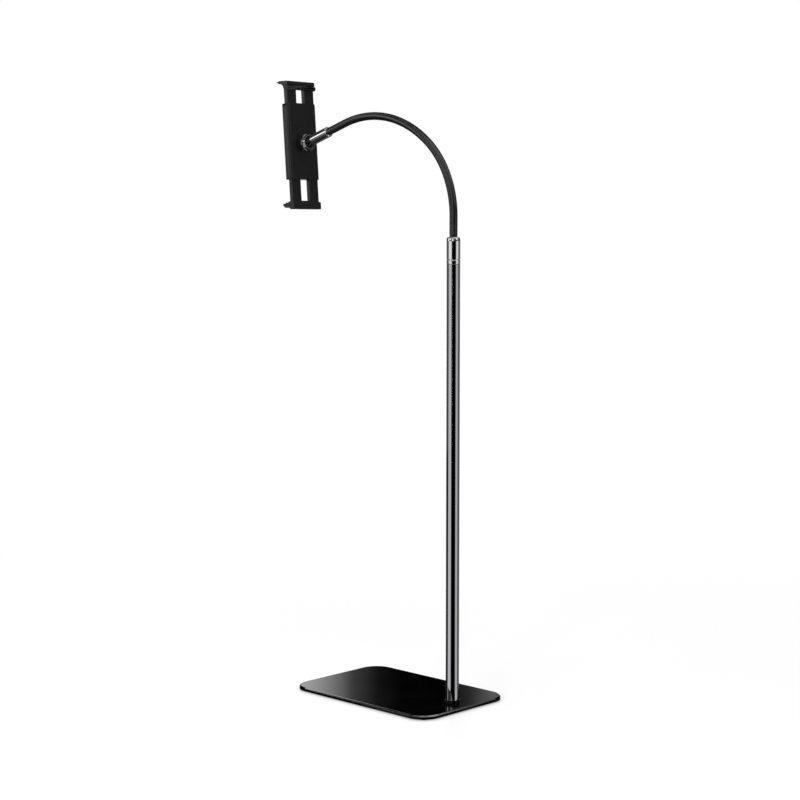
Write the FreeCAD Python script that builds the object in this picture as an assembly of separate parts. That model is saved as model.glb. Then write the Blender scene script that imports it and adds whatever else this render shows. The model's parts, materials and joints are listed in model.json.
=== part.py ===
import FreeCAD, Part
import math
import os

Vector = FreeCAD.Vector
Rotation = FreeCAD.Rotation
Placement = FreeCAD.Placement

# Tablet floor stand, in millimetres. Z is up and Z = 0 is the floor. The pieces are drawn with the post
# on the Z axis and the gooseneck bending towards -X, over the long end of the base. At the end they are
# all moved along X, so that the origin is on the floor under the middle of the whole stand.

# Clearances
PRESS_FIT = 0.02            # radial, a plug or stud that is pressed or screwed home
RUNNING_FIT = 0.05          # radial, parts that turn on each other
SLIDE_GAP = 0.3             # each side, moulded parts that slide
SEAT_GAP = 0.3              # a soft or turning part beside what it seats on
CUT_SPARE = 1.0             # how far a cut starts outside what it cuts
SAME_LEVEL = 0.01           # edges this near a level lie on it

# Base plate and what is under it
BASE_LENGTH = 295.0
BASE_WIDTH = 195.0
BASE_THICKNESS = 6.0
BASE_CORNER = 32.0
BASE_BEVEL = 2.0
POST_INSET = 32.0           # from the post's axis to the near end of the base
FOOT_RADIUS = 8.5
FOOT_HEIGHT = 2.0
FOOT_BEVEL = 0.5
FOOT_INSET = 19.0           # from a foot's centre to the two edges beside it
BASE_SCREW_RADIUS = 4.0
BASE_SCREW_HEAD_RADIUS = 8.0
BASE_SCREW_REACH = 18.0     # how far the screw stands above the plate
SOCKET_ACROSS_FLATS = 5.0
SOCKET_DEPTH = 2.6

# Post
POST_RADIUS = 10.25
POST_WALL = 1.2
POST_LENGTH = 678.0
RING_LEDGE = 1.2            # what the tube stands on
RING_HEIGHT = 5.0
RING_WALL = 1.1
FOOT_PLUG_LENGTH = 28.0
TOP_PLUG_LENGTH = 26.0

# Lower ferrule, which holds the gooseneck on the post
FERRULE_RADIUS = 10.5
FERRULE_LENGTH = 41.0
FERRULE_RING_HEIGHT = 6.5
FERRULE_GROOVE_WIDTH = 1.0
FERRULE_GROOVE_DEPTH = 0.5
FERRULE_MOUTH_RADIUS = 8.3
FERRULE_SHOULDER = 6.0
STUD_RADIUS = 5.0
STUD_IN_POST = 16.0
STUD_IN_FERRULE = 16.0

# Gooseneck: a straight, two arcs and a straight, cut into short links that bend on each other
NECK_RADIUS = 6.2
NECK_IN_FERRULE = 20.0
NECK_FIRST_STRAIGHT = 31.0
NECK_ARCS = ((148.0, 50.0), (194.0, 57.5))
NECK_LAST_STRAIGHT = 38.0
BEND_JOINTS = 10
BEND_FORWARD_DEG = 6.0      # how much further each bend joint can curl
FIRST_SWAY_HEIGHT = 18.0    # the lower sideways joint, above the ferrule
SECOND_SWAY_AFTER = 7       # the upper one is halfway along the link after this bend joint
BALL_STEP = 0.3             # how much smaller than the sleeve a link's round end is
BALL_GAP = 0.15
RIM_SPARE_DEG = 3.0
CUP_TANGENT_DEG = 33.0

# Upper ferrule and ball
END_FERRULE_RADIUS = 8.5
END_FERRULE_LENGTH = 40.0
END_FERRULE_BEVEL = 1.4
BALL_RADIUS = 8.5
BALL_TO_FERRULE = 12.3      # from the ball's centre to the ferrule's end
STEM_RADIUS = 3.2
STEM_FLANGE_RADIUS = 5.4
STEM_FLANGE_HEIGHT = 1.0
BALL_THREAD_RADIUS = 4.0
BALL_THREAD_LENGTH = 13.0

# Clamp on the holder's back
BALL_HEIGHT = 10.0          # from the holder's back face to the ball's centre
LINER_GAP = 0.08
LINER_WALL = 1.35
LINER_DEPTH_DEG = 60.0      # how far round below the ball's middle the liner reaches
COLLET_RADIUS = 12.0
COLLET_ABOVE_BALL = 3.6
COLLET_SLOTS = 4
COLLET_SLOT_WIDTH = 1.6
COLLET_SLOT_FLOOR = 4.4
BOSS_RADIUS = 13.2
BOSS_HEIGHT = 4.2
NUT_RADIUS = 15.0
NUT_LOBES = 6
NUT_NOTCH_RADIUS = 4.4
NUT_NOTCH_DEPTH = 2.1
NUT_FLANGE_HEIGHT = 6.6
NUT_NOSE_HEIGHT = 3.9
NUT_NOSE_RADIUS = 11.8
NUT_NOSE_WALL = 1.2         # at the foot of the nose
NUT_LIP_RADIUS = 9.6
NUT_LIP_HEIGHT = 1.4
NUT_EDGE = 0.8

# Holder. Its own frame has X out of the back, Y across and Z along, with the ball on the X axis
HOLDER_PITCH_DEG = 4.3      # the top leans forward
BODY_HALF_WIDTH = 31.8
BODY_TOP = 65.0
BODY_BOTTOM = -59.0
BODY_DEPTH = 15.6
BODY_TOP_CORNER = 5.5
BODY_BOTTOM_CORNER = 1.6
BODY_BACK_ROUND = 5.0       # radius of the long edges behind
BODY_FRONT_ROUND = 4.5
RAIL_INNER = 9.4
RAIL_OUTER = 28.9
RAIL_THICKNESS = 7.6
RAIL_EDGE = 0.5
BACK_WALL = 2.1
SCREW_RADIUS = 1.5
SCREW_HEAD_RADIUS = 2.8
SCREW_HEAD_HEIGHT = 1.8
SCREW_LENGTH = 7.0
SCREW_PLACES = (46.0, 20.0, -20.0, -46.0)
SCREW_SLOT_WIDTH = 0.8
SCREW_SLOT_LENGTH = 3.9
SCREW_SLOT_DEPTH = 0.8
FRONT_PAD_THICKNESS = 1.2
FRONT_PAD_INNER = 8.0
FRONT_PAD_OUTER = 25.0
FRONT_PAD_HALF_LENGTH = 50.0
FRONT_PAD_CORNER = 3.0
BRAKE_WIDTH = 10.0
BRAKE_LENGTH = 7.0
BRAKE_THICKNESS = 2.0
BRAKE_FROM_END = 4.0

# Jaws
UPPER_WINDOW_TOP = 89.0
UPPER_BAR_TOP = 100.4
UPPER_RAIL_END = 26.0
LOWER_WINDOW_BOTTOM = -95.0
LOWER_BAR_BOTTOM = -107.6
LOWER_RAIL_END = -36.0
RAIL_INTO_BAR = 1.0         # how far the rails run on inside the bars
BAR_HALF_WIDTH = 30.5
BAR_BACK = 0.5
BAR_EDGE = 1.2
RIB_REACH = 2.6             # how far the upper bar's finger rib stands out of the holder's back
RIB_DROP = 10.6             # from the bar's top to the middle of the rib
RIB_HALF_HEIGHT = 3.6
CHEEK_HEIGHT = 6.0          # from the bar's top to the groove over the rib
HOOK_DEPTH = 26.0           # from the holder's back face to the hooks' tips
HOOK_PAD_THICKNESS = 1.3
HOOK_PAD_HALF_WIDTH = 26.0
HOOK_LIP = 1.2              # height and width of the bead at a pad's tip
UPPER_CLAW_RISE = 1.6       # from the window's top to the upper pad, at the rails
UPPER_CLAW_BEND_REACH = 5.8
UPPER_CLAW_BEND_DROP = 5.0
UPPER_CLAW_TIP_DROP = 1.8
UPPER_CLAW_BLUNT = 0.5
UPPER_BROW_REACH = 8.5
UPPER_BROW_RISE = 1.4       # how far the claw's brow stands above the bar's top
LOWER_CLAW_RISE = 2.1       # from the window's bottom to the lower pad, at the rails
LOWER_CLAW_BEND_REACH = 5.6
LOWER_CLAW_BEND_DROP = 0.2
LOWER_CLAW_TIP_DROP = 1.6
LOWER_CLAW_TIP_BACK = 2.0   # how much less far the lower pad reaches than the claw
LOWER_CLAW_BLUNT = 1.6
LOWER_CHIN_REACH = 11.0
LOWER_CHIN_HEIGHT = 3.4
LOWER_HEEL_HEIGHT = 2.4
LOWER_BAR_STEP = 0.8        # the bar's back starts this far below the window

# Derived levels of the post
PLATE_BOTTOM = FOOT_HEIGHT
PLATE_TOP = PLATE_BOTTOM + BASE_THICKNESS
TUBE_BOTTOM = PLATE_TOP + RING_LEDGE
TUBE_TOP = TUBE_BOTTOM + POST_LENGTH
FERRULE_TOP = TUBE_TOP + FERRULE_LENGTH
TUBE_BORE = POST_RADIUS - POST_WALL
BASE_FAR_END = POST_INSET - BASE_LENGTH

# Derived places in the holder's frame
RAIL_BACK = -(BACK_WALL + SLIDE_GAP)
RAIL_FRONT = RAIL_BACK - RAIL_THICKNESS
SPLIT = RAIL_FRONT - SLIDE_GAP
BODY_FRONT = -BODY_DEPTH
LINER_INNER = BALL_RADIUS + LINER_GAP
LINER_OUTER = LINER_INNER + LINER_WALL
SOCKET_RADIUS = LINER_OUTER + RUNNING_FIT
COLLET_TOP = BALL_HEIGHT + COLLET_ABOVE_BALL
NUT_BOTTOM = BOSS_HEIGHT + SEAT_GAP
NUT_BORE = COLLET_RADIUS + RUNNING_FIT
NUT_TOP = NUT_BOTTOM + NUT_FLANGE_HEIGHT + NUT_NOSE_HEIGHT
BALL_END_RADIUS = NECK_RADIUS - BALL_STEP
CUP_RADIUS = BALL_END_RADIUS + BALL_GAP


def revolved(points):
    """A solid turned about Z from (radius, height) points."""
    outline = [Vector(radius, 0, height) for radius, height in points]
    face = Part.Face(Part.makePolygon(outline + outline[:1]))
    return face.revolve(Vector(0, 0, 0), Vector(0, 0, 1), 360)


def pointed_along(shape, start, direction):
    """A shape made on the Z axis, set with its origin at start and its Z along direction."""
    moved = shape.copy()
    moved.Placement = Placement(start, Rotation(Vector(0, 0, 1), direction))
    return moved


def cylinder(radius, low, high):
    return Part.makeCylinder(radius, high - low, Vector(0, 0, low))


def block(low, high):
    """A box between two corners."""
    size = Vector(*high) - Vector(*low)
    return Part.makeBox(size.x, size.y, size.z, Vector(*low))


def edges_where(shape, test):
    """The straight or round edges whose box passes a test of its low and high corners."""
    found = []
    for edge in shape.Edges:
        box = edge.BoundBox
        if test(box):
            found.append(edge)
    return found


def rounded_plate(x_low, x_high, y_low, y_high, z_low, z_high, corner):
    """A flat plate with its four upright corners rounded."""
    plate = block((x_low, y_low, z_low), (x_high, y_high, z_high))
    upright = edges_where(plate, lambda box: box.ZLength > 0.99 * (z_high - z_low))
    return plate.makeFillet(corner, upright)


def base_plate():
    half = BASE_WIDTH / 2
    plate = rounded_plate(BASE_FAR_END, POST_INSET, -half, half, PLATE_BOTTOM, PLATE_TOP, BASE_CORNER)
    rim = edges_where(plate, lambda box: box.ZMin > PLATE_TOP - SAME_LEVEL)
    plate = plate.makeChamfer(BASE_BEVEL, rim)
    head = BASE_SCREW_HEAD_RADIUS + SEAT_GAP
    bore = BASE_SCREW_RADIUS + SEAT_GAP
    hole = revolved(
        [
            (0, PLATE_BOTTOM - CUT_SPARE),
            (head + CUT_SPARE, PLATE_BOTTOM - CUT_SPARE),
            (bore, PLATE_BOTTOM + head - bore),
            (bore, PLATE_TOP + CUT_SPARE),
            (0, PLATE_TOP + CUT_SPARE),
        ]
    )
    return plate.cut(hole)


def base_feet():
    foot = revolved(
        [
            (0, 0),
            (FOOT_RADIUS - FOOT_BEVEL, 0),
            (FOOT_RADIUS, FOOT_BEVEL),
            (FOOT_RADIUS, FOOT_HEIGHT),
            (0, FOOT_HEIGHT),
        ]
    )
    feet = []
    for x in (BASE_FAR_END + FOOT_INSET, POST_INSET - FOOT_INSET):
        for y in (-1, 1):
            feet.append(foot.translated(Vector(x, y * (BASE_WIDTH / 2 - FOOT_INSET), 0)))
    return Part.makeCompound(feet)


def base_screw():
    """Countersunk socket screw, flush with the underside of the plate."""
    cone = BASE_SCREW_HEAD_RADIUS - BASE_SCREW_RADIUS
    screw = revolved(
        [
            (0, PLATE_BOTTOM),
            (BASE_SCREW_HEAD_RADIUS, PLATE_BOTTOM),
            (BASE_SCREW_RADIUS, PLATE_BOTTOM + cone),
            (BASE_SCREW_RADIUS, PLATE_TOP + BASE_SCREW_REACH),
            (0, PLATE_TOP + BASE_SCREW_REACH),
        ]
    )
    corner = SOCKET_ACROSS_FLATS / math.sqrt(3)
    hexagon = [
        Vector(corner * math.cos(k * math.pi / 3), corner * math.sin(k * math.pi / 3), PLATE_BOTTOM)
        for k in range(7)
    ]
    socket = Part.Face(Part.makePolygon(hexagon)).extrude(Vector(0, 0, SOCKET_DEPTH))
    return screw.cut(socket)


def post_foot_ring():
    """Collar that hides the foot of the tube; the tube stands on its inner ledge."""
    outer = POST_RADIUS + SEAT_GAP / 2 + RING_WALL
    inner = POST_RADIUS + SEAT_GAP / 2
    hole = TUBE_BORE + PRESS_FIT
    return revolved(
        [
            (hole, PLATE_TOP),
            (outer, PLATE_TOP),
            (outer, PLATE_TOP + RING_HEIGHT - RING_WALL / 2),
            (outer - RING_WALL / 2, PLATE_TOP + RING_HEIGHT),
            (inner, PLATE_TOP + RING_HEIGHT),
            (inner, TUBE_BOTTOM),
            (hole, TUBE_BOTTOM),
        ]
    )


def post_tube():
    return cylinder(POST_RADIUS, TUBE_BOTTOM, TUBE_TOP).cut(cylinder(TUBE_BORE, TUBE_BOTTOM, TUBE_TOP))


def plug(low, high, bore):
    """A steel plug pressed into the tube, tapped right through."""
    body = TUBE_BORE - PRESS_FIT
    return cylinder(body, low, high).cut(cylinder(bore + PRESS_FIT, low, high))


def post_foot_plug():
    return plug(PLATE_TOP, PLATE_TOP + FOOT_PLUG_LENGTH, BASE_SCREW_RADIUS)


def post_top_plug():
    return plug(TUBE_TOP - TOP_PLUG_LENGTH, TUBE_TOP, STUD_RADIUS)


def neck_stud():
    """Threaded stud that joins the ferrule to the plug in the post."""
    return cylinder(STUD_RADIUS, TUBE_TOP - STUD_IN_POST, TUBE_TOP + STUD_IN_FERRULE)


def neck_ferrule():
    """Turned ferrule: a ring, a groove, a plain barrel and a rounded shoulder."""
    groove_low = TUBE_TOP + FERRULE_RING_HEIGHT
    groove_high = groove_low + FERRULE_GROOVE_WIDTH
    groove = FERRULE_RADIUS - FERRULE_GROOVE_DEPTH
    drop = FERRULE_RADIUS - FERRULE_MOUTH_RADIUS
    shoulder = [
        (
            FERRULE_MOUTH_RADIUS + drop * math.cos(math.radians(angle)),
            FERRULE_TOP - FERRULE_SHOULDER * (1 - math.sin(math.radians(angle))),
        )
        for angle in (0, 30, 60)
    ]
    outline = [
        (0, TUBE_TOP),
        (FERRULE_RADIUS, TUBE_TOP),
        (FERRULE_RADIUS, groove_low),
        (groove, groove_low + FERRULE_GROOVE_WIDTH / 2),
        (FERRULE_RADIUS, groove_high),
        *shoulder,
        (FERRULE_MOUTH_RADIUS, FERRULE_TOP),
        (0, FERRULE_TOP),
    ]
    neck_bore = cylinder(NECK_RADIUS + PRESS_FIT, FERRULE_TOP - NECK_IN_FERRULE, FERRULE_TOP)
    stud_bore = cylinder(STUD_RADIUS + PRESS_FIT, TUBE_TOP, FERRULE_TOP - NECK_IN_FERRULE)
    return revolved(outline).cut(neck_bore).cut(stud_bore)


def heading(turn_deg):
    """The gooseneck's direction after it has turned through an angle from upright."""
    turn = math.radians(turn_deg)
    return Vector(-math.sin(turn), 0, math.cos(turn))


def neck_point(turn_deg):
    """Where the curved part of the gooseneck's centreline has turned through an angle."""
    place = Vector(0, 0, FERRULE_TOP + NECK_FIRST_STRAIGHT)
    done = 0.0
    for radius, sweep in NECK_ARCS:
        here = min(max(turn_deg - done, 0.0), sweep)
        chord = 2 * radius * math.sin(math.radians(here) / 2)
        place = place + heading(done + here / 2) * chord
        done += sweep
    return place


NECK_TURN_DEG = sum(sweep for _, sweep in NECK_ARCS)
BEND_STEP_DEG = NECK_TURN_DEG / BEND_JOINTS
NECK_END_DIRECTION = heading(NECK_TURN_DEG)
NECK_END = neck_point(NECK_TURN_DEG) + NECK_END_DIRECTION * NECK_LAST_STRAIGHT
BALL_CENTRE = NECK_END + NECK_END_DIRECTION * (END_FERRULE_LENGTH + BALL_TO_FERRULE)


def bend_joint_places():
    """Where the straight links' axes meet: the corners of lines that touch the centreline."""
    places = []
    for k in range(BEND_JOINTS):
        low, high = k * BEND_STEP_DEG, (k + 1) * BEND_STEP_DEG
        start, end = neck_point(low), neck_point(high)
        before, after = heading(low), heading(high)
        gap = end - start
        along = (gap.x * after.z - gap.z * after.x) / (before.x * after.z - before.z * after.x)
        places.append(start + before * along)
    return places


def neck_joints():
    """Every joint of the gooseneck from the post up, as (name, place, axis)."""
    bends = bend_joint_places()
    joints = [("neck_sway_1", Vector(0, 0, FERRULE_TOP + FIRST_SWAY_HEIGHT), Vector(1, 0, 0))]
    for k, place in enumerate(bends):
        joints.append((f"neck_bend_{k + 1}", place, Vector(0, -1, 0)))
        if k + 1 == SECOND_SWAY_AFTER:
            middle = (place + bends[k + 1]) * 0.5
            along = heading((k + 1) * BEND_STEP_DEG)
            joints.append(("neck_sway_2", middle, Vector(along.z, 0, -along.x)))
    return joints


def neck_link(start, end, has_cup, has_ball):
    """One link: a rod with a cup at its lower end and a round nose in the next link's cup."""
    length = (end - start).Length
    swing = math.radians(BEND_STEP_DEG + BEND_FORWARD_DEG + RIM_SPARE_DEG)
    rim = NECK_RADIUS * math.sin(swing)
    tangent = math.radians(CUP_TANGENT_DEG)
    rim_inner = (CUP_RADIUS - rim * math.sin(tangent)) / math.cos(tangent)
    floor_radius = (CUP_RADIUS - CUP_RADIUS * math.sin(tangent)) / math.cos(tangent)
    if has_cup:
        outline = [(0, CUP_RADIUS), (floor_radius, CUP_RADIUS), (rim_inner, rim), (NECK_RADIUS, rim)]
    else:
        outline = [(0, 0), (NECK_RADIUS, 0)]
    outline.append((NECK_RADIUS, length))
    if has_ball:
        for angle in (0, 28, 57):
            turn = math.radians(angle)
            outline.append((BALL_END_RADIUS * math.cos(turn), length + BALL_END_RADIUS * math.sin(turn)))
        outline.append((0, outline[-1][1]))
    else:
        outline.append((0, length))
    return pointed_along(revolved(outline), start, end - start)


def neck_links():
    """The gooseneck's links, from the one in the lower ferrule to the one in the upper."""
    first = Vector(0, 0, FERRULE_TOP - NECK_IN_FERRULE)
    last = NECK_END + NECK_END_DIRECTION * NECK_IN_FERRULE
    stops = [first] + [place for _, place, _ in neck_joints()] + [last]
    links = []
    for k in range(len(stops) - 1):
        links.append(neck_link(stops[k], stops[k + 1], k > 0, k < len(stops) - 2))
    return links


def end_ferrule():
    outline = [
        (0, 0),
        (END_FERRULE_RADIUS - END_FERRULE_BEVEL, 0),
        (END_FERRULE_RADIUS, END_FERRULE_BEVEL),
        (END_FERRULE_RADIUS, END_FERRULE_LENGTH - END_FERRULE_BEVEL / 2),
        (END_FERRULE_RADIUS - END_FERRULE_BEVEL / 2, END_FERRULE_LENGTH),
        (0, END_FERRULE_LENGTH),
    ]
    neck_bore = cylinder(NECK_RADIUS + PRESS_FIT, 0, NECK_IN_FERRULE)
    thread_floor = END_FERRULE_LENGTH - BALL_THREAD_LENGTH - SEAT_GAP
    thread_bore = cylinder(BALL_THREAD_RADIUS + PRESS_FIT, thread_floor, END_FERRULE_LENGTH)
    ferrule = revolved(outline).cut(neck_bore).cut(thread_bore)
    return pointed_along(ferrule, NECK_END, NECK_END_DIRECTION)


def ball_stud():
    """Ball, waisted stem, flange and the thread that goes into the upper ferrule."""
    flange = BALL_TO_FERRULE - STEM_FLANGE_HEIGHT
    stem = revolved(
        [
            (0, BALL_RADIUS / 2),
            (STEM_RADIUS, BALL_RADIUS / 2),
            (STEM_RADIUS, flange - (STEM_FLANGE_RADIUS - STEM_RADIUS) / 2),
            (STEM_FLANGE_RADIUS, flange),
            (STEM_FLANGE_RADIUS, BALL_TO_FERRULE),
            (BALL_THREAD_RADIUS, BALL_TO_FERRULE),
            (BALL_THREAD_RADIUS, BALL_TO_FERRULE + BALL_THREAD_LENGTH),
            (0, BALL_TO_FERRULE + BALL_THREAD_LENGTH),
        ]
    )
    ball = Part.makeSphere(BALL_RADIUS)
    return pointed_along(ball.fuse(stem), BALL_CENTRE, NECK_END_DIRECTION * -1)


def in_holder(shape):
    """A shape made in the holder's own frame, moved to its place on the ball."""
    turn = Rotation(Vector(0, 1, 0), -HOLDER_PITCH_DEG)
    moved = shape.copy()
    moved.Placement = Placement(BALL_CENTRE, turn).multiply(
        Placement(Vector(-BALL_HEIGHT, 0, 0), Rotation()).multiply(shape.Placement)
    )
    return moved


def turned_on_back(points):
    """A solid turned about the holder's X axis from (radius, height above the back) points."""
    outline = [Vector(height, 0, radius) for radius, height in points]
    face = Part.Face(Part.makePolygon(outline + outline[:1]))
    return face.revolve(Vector(0, 0, 0), Vector(1, 0, 0), 360)


def round_inside(radius, low_deg, high_deg, steps):
    """(radius, height) corners that lie just outside a sphere about the ball's centre."""
    half = math.radians(high_deg - low_deg) / steps / 2
    reach = radius / math.cos(half)
    low, top = math.radians(low_deg), math.radians(high_deg)
    points = [(radius * math.cos(low), BALL_HEIGHT + radius * math.sin(low))]
    for k in range(steps):
        angle = low + half * (2 * k + 1)
        points.append((reach * math.cos(angle), BALL_HEIGHT + reach * math.sin(angle)))
    points.append((radius * math.cos(top), BALL_HEIGHT + radius * math.sin(top)))
    return points


def round_outside(radius, low_deg, high_deg, steps):
    """(radius, height) corners that lie on a sphere about the ball's centre."""
    points = []
    for k in range(steps + 1):
        angle = math.radians(low_deg + (high_deg - low_deg) * k / steps)
        points.append((radius * math.cos(angle), BALL_HEIGHT + radius * math.sin(angle)))
    return points


def ball_liner():
    """Thin nylon cup between the ball and the collet."""
    top_inner = math.degrees(math.asin(COLLET_ABOVE_BALL / LINER_INNER))
    top_outer = math.degrees(math.asin(COLLET_ABOVE_BALL / LINER_OUTER))
    inner = round_inside(LINER_INNER, -LINER_DEPTH_DEG, top_inner, 3)
    outer = round_outside(LINER_OUTER, -LINER_DEPTH_DEG, top_outer, 4)
    return turned_on_back(inner + outer[::-1])


def collet():
    """Slotted socket that grips the ball when the nut is screwed up."""
    top_deg = math.degrees(math.asin(COLLET_ABOVE_BALL / SOCKET_RADIUS))
    hollow = round_inside(SOCKET_RADIUS, -90, top_deg, 6)
    floor = (0, BALL_HEIGHT - SOCKET_RADIUS)
    wall = [(COLLET_RADIUS, COLLET_TOP), (COLLET_RADIUS, BOSS_HEIGHT), (BOSS_RADIUS, BOSS_HEIGHT)]
    outline = [floor, *hollow[1:], *wall, (BOSS_RADIUS, -BACK_WALL / 2), (0, -BACK_WALL / 2)]
    socket = turned_on_back(outline)
    half = COLLET_SLOT_WIDTH / 2
    for k in range(COLLET_SLOTS):
        slot = block((COLLET_SLOT_FLOOR, -half, 0), (COLLET_TOP + CUT_SPARE, half, COLLET_RADIUS + CUT_SPARE))
        slot.rotate(Vector(0, 0, 0), Vector(1, 0, 0), 360 / COLLET_SLOTS * (k + 0.5))
        socket = socket.cut(slot)
    return socket


def lock_nut():
    """Scalloped nut with a smooth nose that closes the collet on the ball."""
    flange_top = NUT_BOTTOM + NUT_FLANGE_HEIGHT
    lip = NUT_TOP - NUT_LIP_HEIGHT
    nut = turned_on_back(
        [
            (NUT_BORE, NUT_BOTTOM),
            (NUT_RADIUS - NUT_EDGE, NUT_BOTTOM),
            (NUT_RADIUS, NUT_BOTTOM + NUT_EDGE),
            (NUT_RADIUS, flange_top - NUT_EDGE),
            (NUT_RADIUS - NUT_EDGE, flange_top),
            (NUT_BORE + NUT_NOSE_WALL, flange_top),
            (NUT_NOSE_RADIUS, NUT_TOP),
            (NUT_LIP_RADIUS + NUT_LIP_HEIGHT / 3, NUT_TOP),
            (NUT_LIP_RADIUS, lip),
            (NUT_BORE, lip),
        ]
    )
    centre = NUT_RADIUS + NUT_NOTCH_RADIUS - NUT_NOTCH_DEPTH
    for k in range(NUT_LOBES):
        notch = Part.makeCylinder(
            NUT_NOTCH_RADIUS, NUT_FLANGE_HEIGHT + 2 * CUT_SPARE, Vector(NUT_BOTTOM - CUT_SPARE, 0, centre), Vector(1, 0, 0)
        )
        notch.rotate(Vector(0, 0, 0), Vector(1, 0, 0), 360 / NUT_LOBES * k)
        nut = nut.cut(notch)
    return nut


def body_outline(x_low, x_high):
    """The holder body between two depths, with its corners and its long edges rounded."""
    shell = block((x_low, -BODY_HALF_WIDTH, BODY_BOTTOM), (x_high, BODY_HALF_WIDTH, BODY_TOP))
    top = edges_where(shell, lambda box: box.XLength > SAME_LEVEL and box.ZMin > BODY_TOP - SAME_LEVEL)
    shell = shell.makeFillet(BODY_TOP_CORNER, top)
    bottom = edges_where(shell, lambda box: box.XLength > SAME_LEVEL and box.ZMax < BODY_BOTTOM + SAME_LEVEL)
    shell = shell.makeFillet(BODY_BOTTOM_CORNER, bottom)
    bar = block((BODY_FRONT, -BODY_HALF_WIDTH, BODY_BOTTOM - CUT_SPARE), (0, BODY_HALF_WIDTH, BODY_TOP + CUT_SPARE))
    back = edges_where(bar, lambda box: box.ZLength > SAME_LEVEL and box.XMin > -SAME_LEVEL)
    bar = bar.makeFillet(BODY_BACK_ROUND, back)
    front = edges_where(bar, lambda box: box.ZLength > SAME_LEVEL and box.XMax < BODY_FRONT + SAME_LEVEL)
    return shell.common(bar.makeFillet(BODY_FRONT_ROUND, front))


def screw_holes(radius, x_low, x_high):
    depth = x_high - x_low
    along = Vector(1, 0, 0)
    holes = [Part.makeCylinder(radius, depth, Vector(x_low, 0, z), along) for z in SCREW_PLACES]
    return Part.makeCompound(holes)


def holder_back():
    """Moulded back half: tray with two rail channels, a middle rib and the collet."""
    shell = body_outline(SPLIT, 0)
    for side in (-1, 1):
        near = side * (RAIL_INNER - SLIDE_GAP)
        far = side * (RAIL_OUTER + SLIDE_GAP)
        channel = block(
            (SPLIT - CUT_SPARE, min(near, far), BODY_BOTTOM - CUT_SPARE), (-BACK_WALL, max(near, far), BODY_TOP + CUT_SPARE)
        )
        shell = shell.cut(channel)
    screw_end = BODY_FRONT + SCREW_HEAD_HEIGHT + SCREW_LENGTH
    shell = shell.cut(screw_holes(SCREW_RADIUS + PRESS_FIT, SPLIT - CUT_SPARE, screw_end + SEAT_GAP))
    pocket = turned_on_back([(0, -BACK_WALL / 2), (BOSS_RADIUS, -BACK_WALL / 2), (BOSS_RADIUS, CUT_SPARE), (0, CUT_SPARE)])
    return shell.cut(pocket).fuse(collet())


def brake_places():
    """The centre, across and along, of each friction pad that bears on a rail."""
    middle = (RAIL_INNER + RAIL_OUTER) / 2
    upper = BODY_TOP - BRAKE_FROM_END - BRAKE_LENGTH / 2
    lower = BODY_BOTTOM + BRAKE_FROM_END + BRAKE_LENGTH / 2
    return [(side * middle, z) for side in (-1, 1) for z in (upper, lower)]


def brake_block(y, z, spare):
    width, length = BRAKE_WIDTH / 2 + spare, BRAKE_LENGTH / 2 + spare
    floor = SPLIT - BRAKE_THICKNESS - spare
    return block((floor, y - width, z - length), (SPLIT, y + width, z + length))


def rail_brakes():
    return Part.makeCompound([brake_block(y, z, 0) for y, z in brake_places()])


def holder_front():
    """Moulded front cover that closes the rail channels."""
    cover = body_outline(BODY_FRONT, SPLIT)
    for y, z in brake_places():
        cover = cover.cut(brake_block(y, z, PRESS_FIT))
    cover = cover.cut(screw_holes(SCREW_RADIUS + PRESS_FIT, BODY_FRONT - CUT_SPARE, SPLIT + CUT_SPARE))
    head = SCREW_HEAD_RADIUS + SEAT_GAP
    return cover.cut(screw_holes(head, BODY_FRONT - CUT_SPARE, BODY_FRONT + SCREW_HEAD_HEIGHT))


def holder_screws():
    head_top = BODY_FRONT + SCREW_HEAD_HEIGHT
    along = Vector(1, 0, 0)
    screw = Part.makeCylinder(SCREW_HEAD_RADIUS, SCREW_HEAD_HEIGHT, Vector(BODY_FRONT, 0, 0), along)
    shank = Part.makeCylinder(SCREW_RADIUS, SCREW_LENGTH, Vector(head_top, 0, 0), along)
    screw = screw.fuse(shank)
    long, short = SCREW_SLOT_LENGTH / 2, SCREW_SLOT_WIDTH / 2
    for half_y, half_z in ((long, short), (short, long)):
        slot = block((BODY_FRONT - CUT_SPARE, -half_y, -half_z), (BODY_FRONT + SCREW_SLOT_DEPTH, half_y, half_z))
        screw = screw.cut(slot)
    return Part.makeCompound([screw.translated(Vector(0, 0, z)) for z in SCREW_PLACES])


def front_pads():
    """Two silicone strips that the tablet's back rests on."""
    pads = []
    for side in (-1, 1):
        near, far = side * FRONT_PAD_INNER, side * FRONT_PAD_OUTER
        pad = block(
            (BODY_FRONT - FRONT_PAD_THICKNESS, min(near, far), -FRONT_PAD_HALF_LENGTH),
            (BODY_FRONT, max(near, far), FRONT_PAD_HALF_LENGTH),
        )
        corners = edges_where(pad, lambda box: box.XLength > SAME_LEVEL)
        pads.append(pad.makeFillet(FRONT_PAD_CORNER, corners))
    return Part.makeCompound(pads)


def rails(end, far):
    """A jaw's two rails, from their inner end to where they run into the bar."""
    low, high = min(end, far), max(end, far)
    pair = []
    for side in (-1, 1):
        near, out = side * RAIL_INNER, side * RAIL_OUTER
        rail = block((RAIL_FRONT, min(near, out), low), (RAIL_BACK, max(near, out), high))
        lengthways = edges_where(rail, lambda box: box.ZLength > SAME_LEVEL)
        pair.append(rail.makeChamfer(RAIL_EDGE, lengthways))
    return pair


def extruded_across(edges, half_width):
    """A face drawn in the holder's X-Z plane, drawn out across the holder."""
    wire = Part.Wire(edges)
    face = Part.Face(wire)
    solid = face.extrude(Vector(0, 2 * half_width, 0))
    return solid.translated(Vector(0, -half_width, 0))


def line(a, b):
    return Part.LineSegment(Vector(a[0], 0, a[1]), Vector(b[0], 0, b[1])).toShape()


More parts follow.
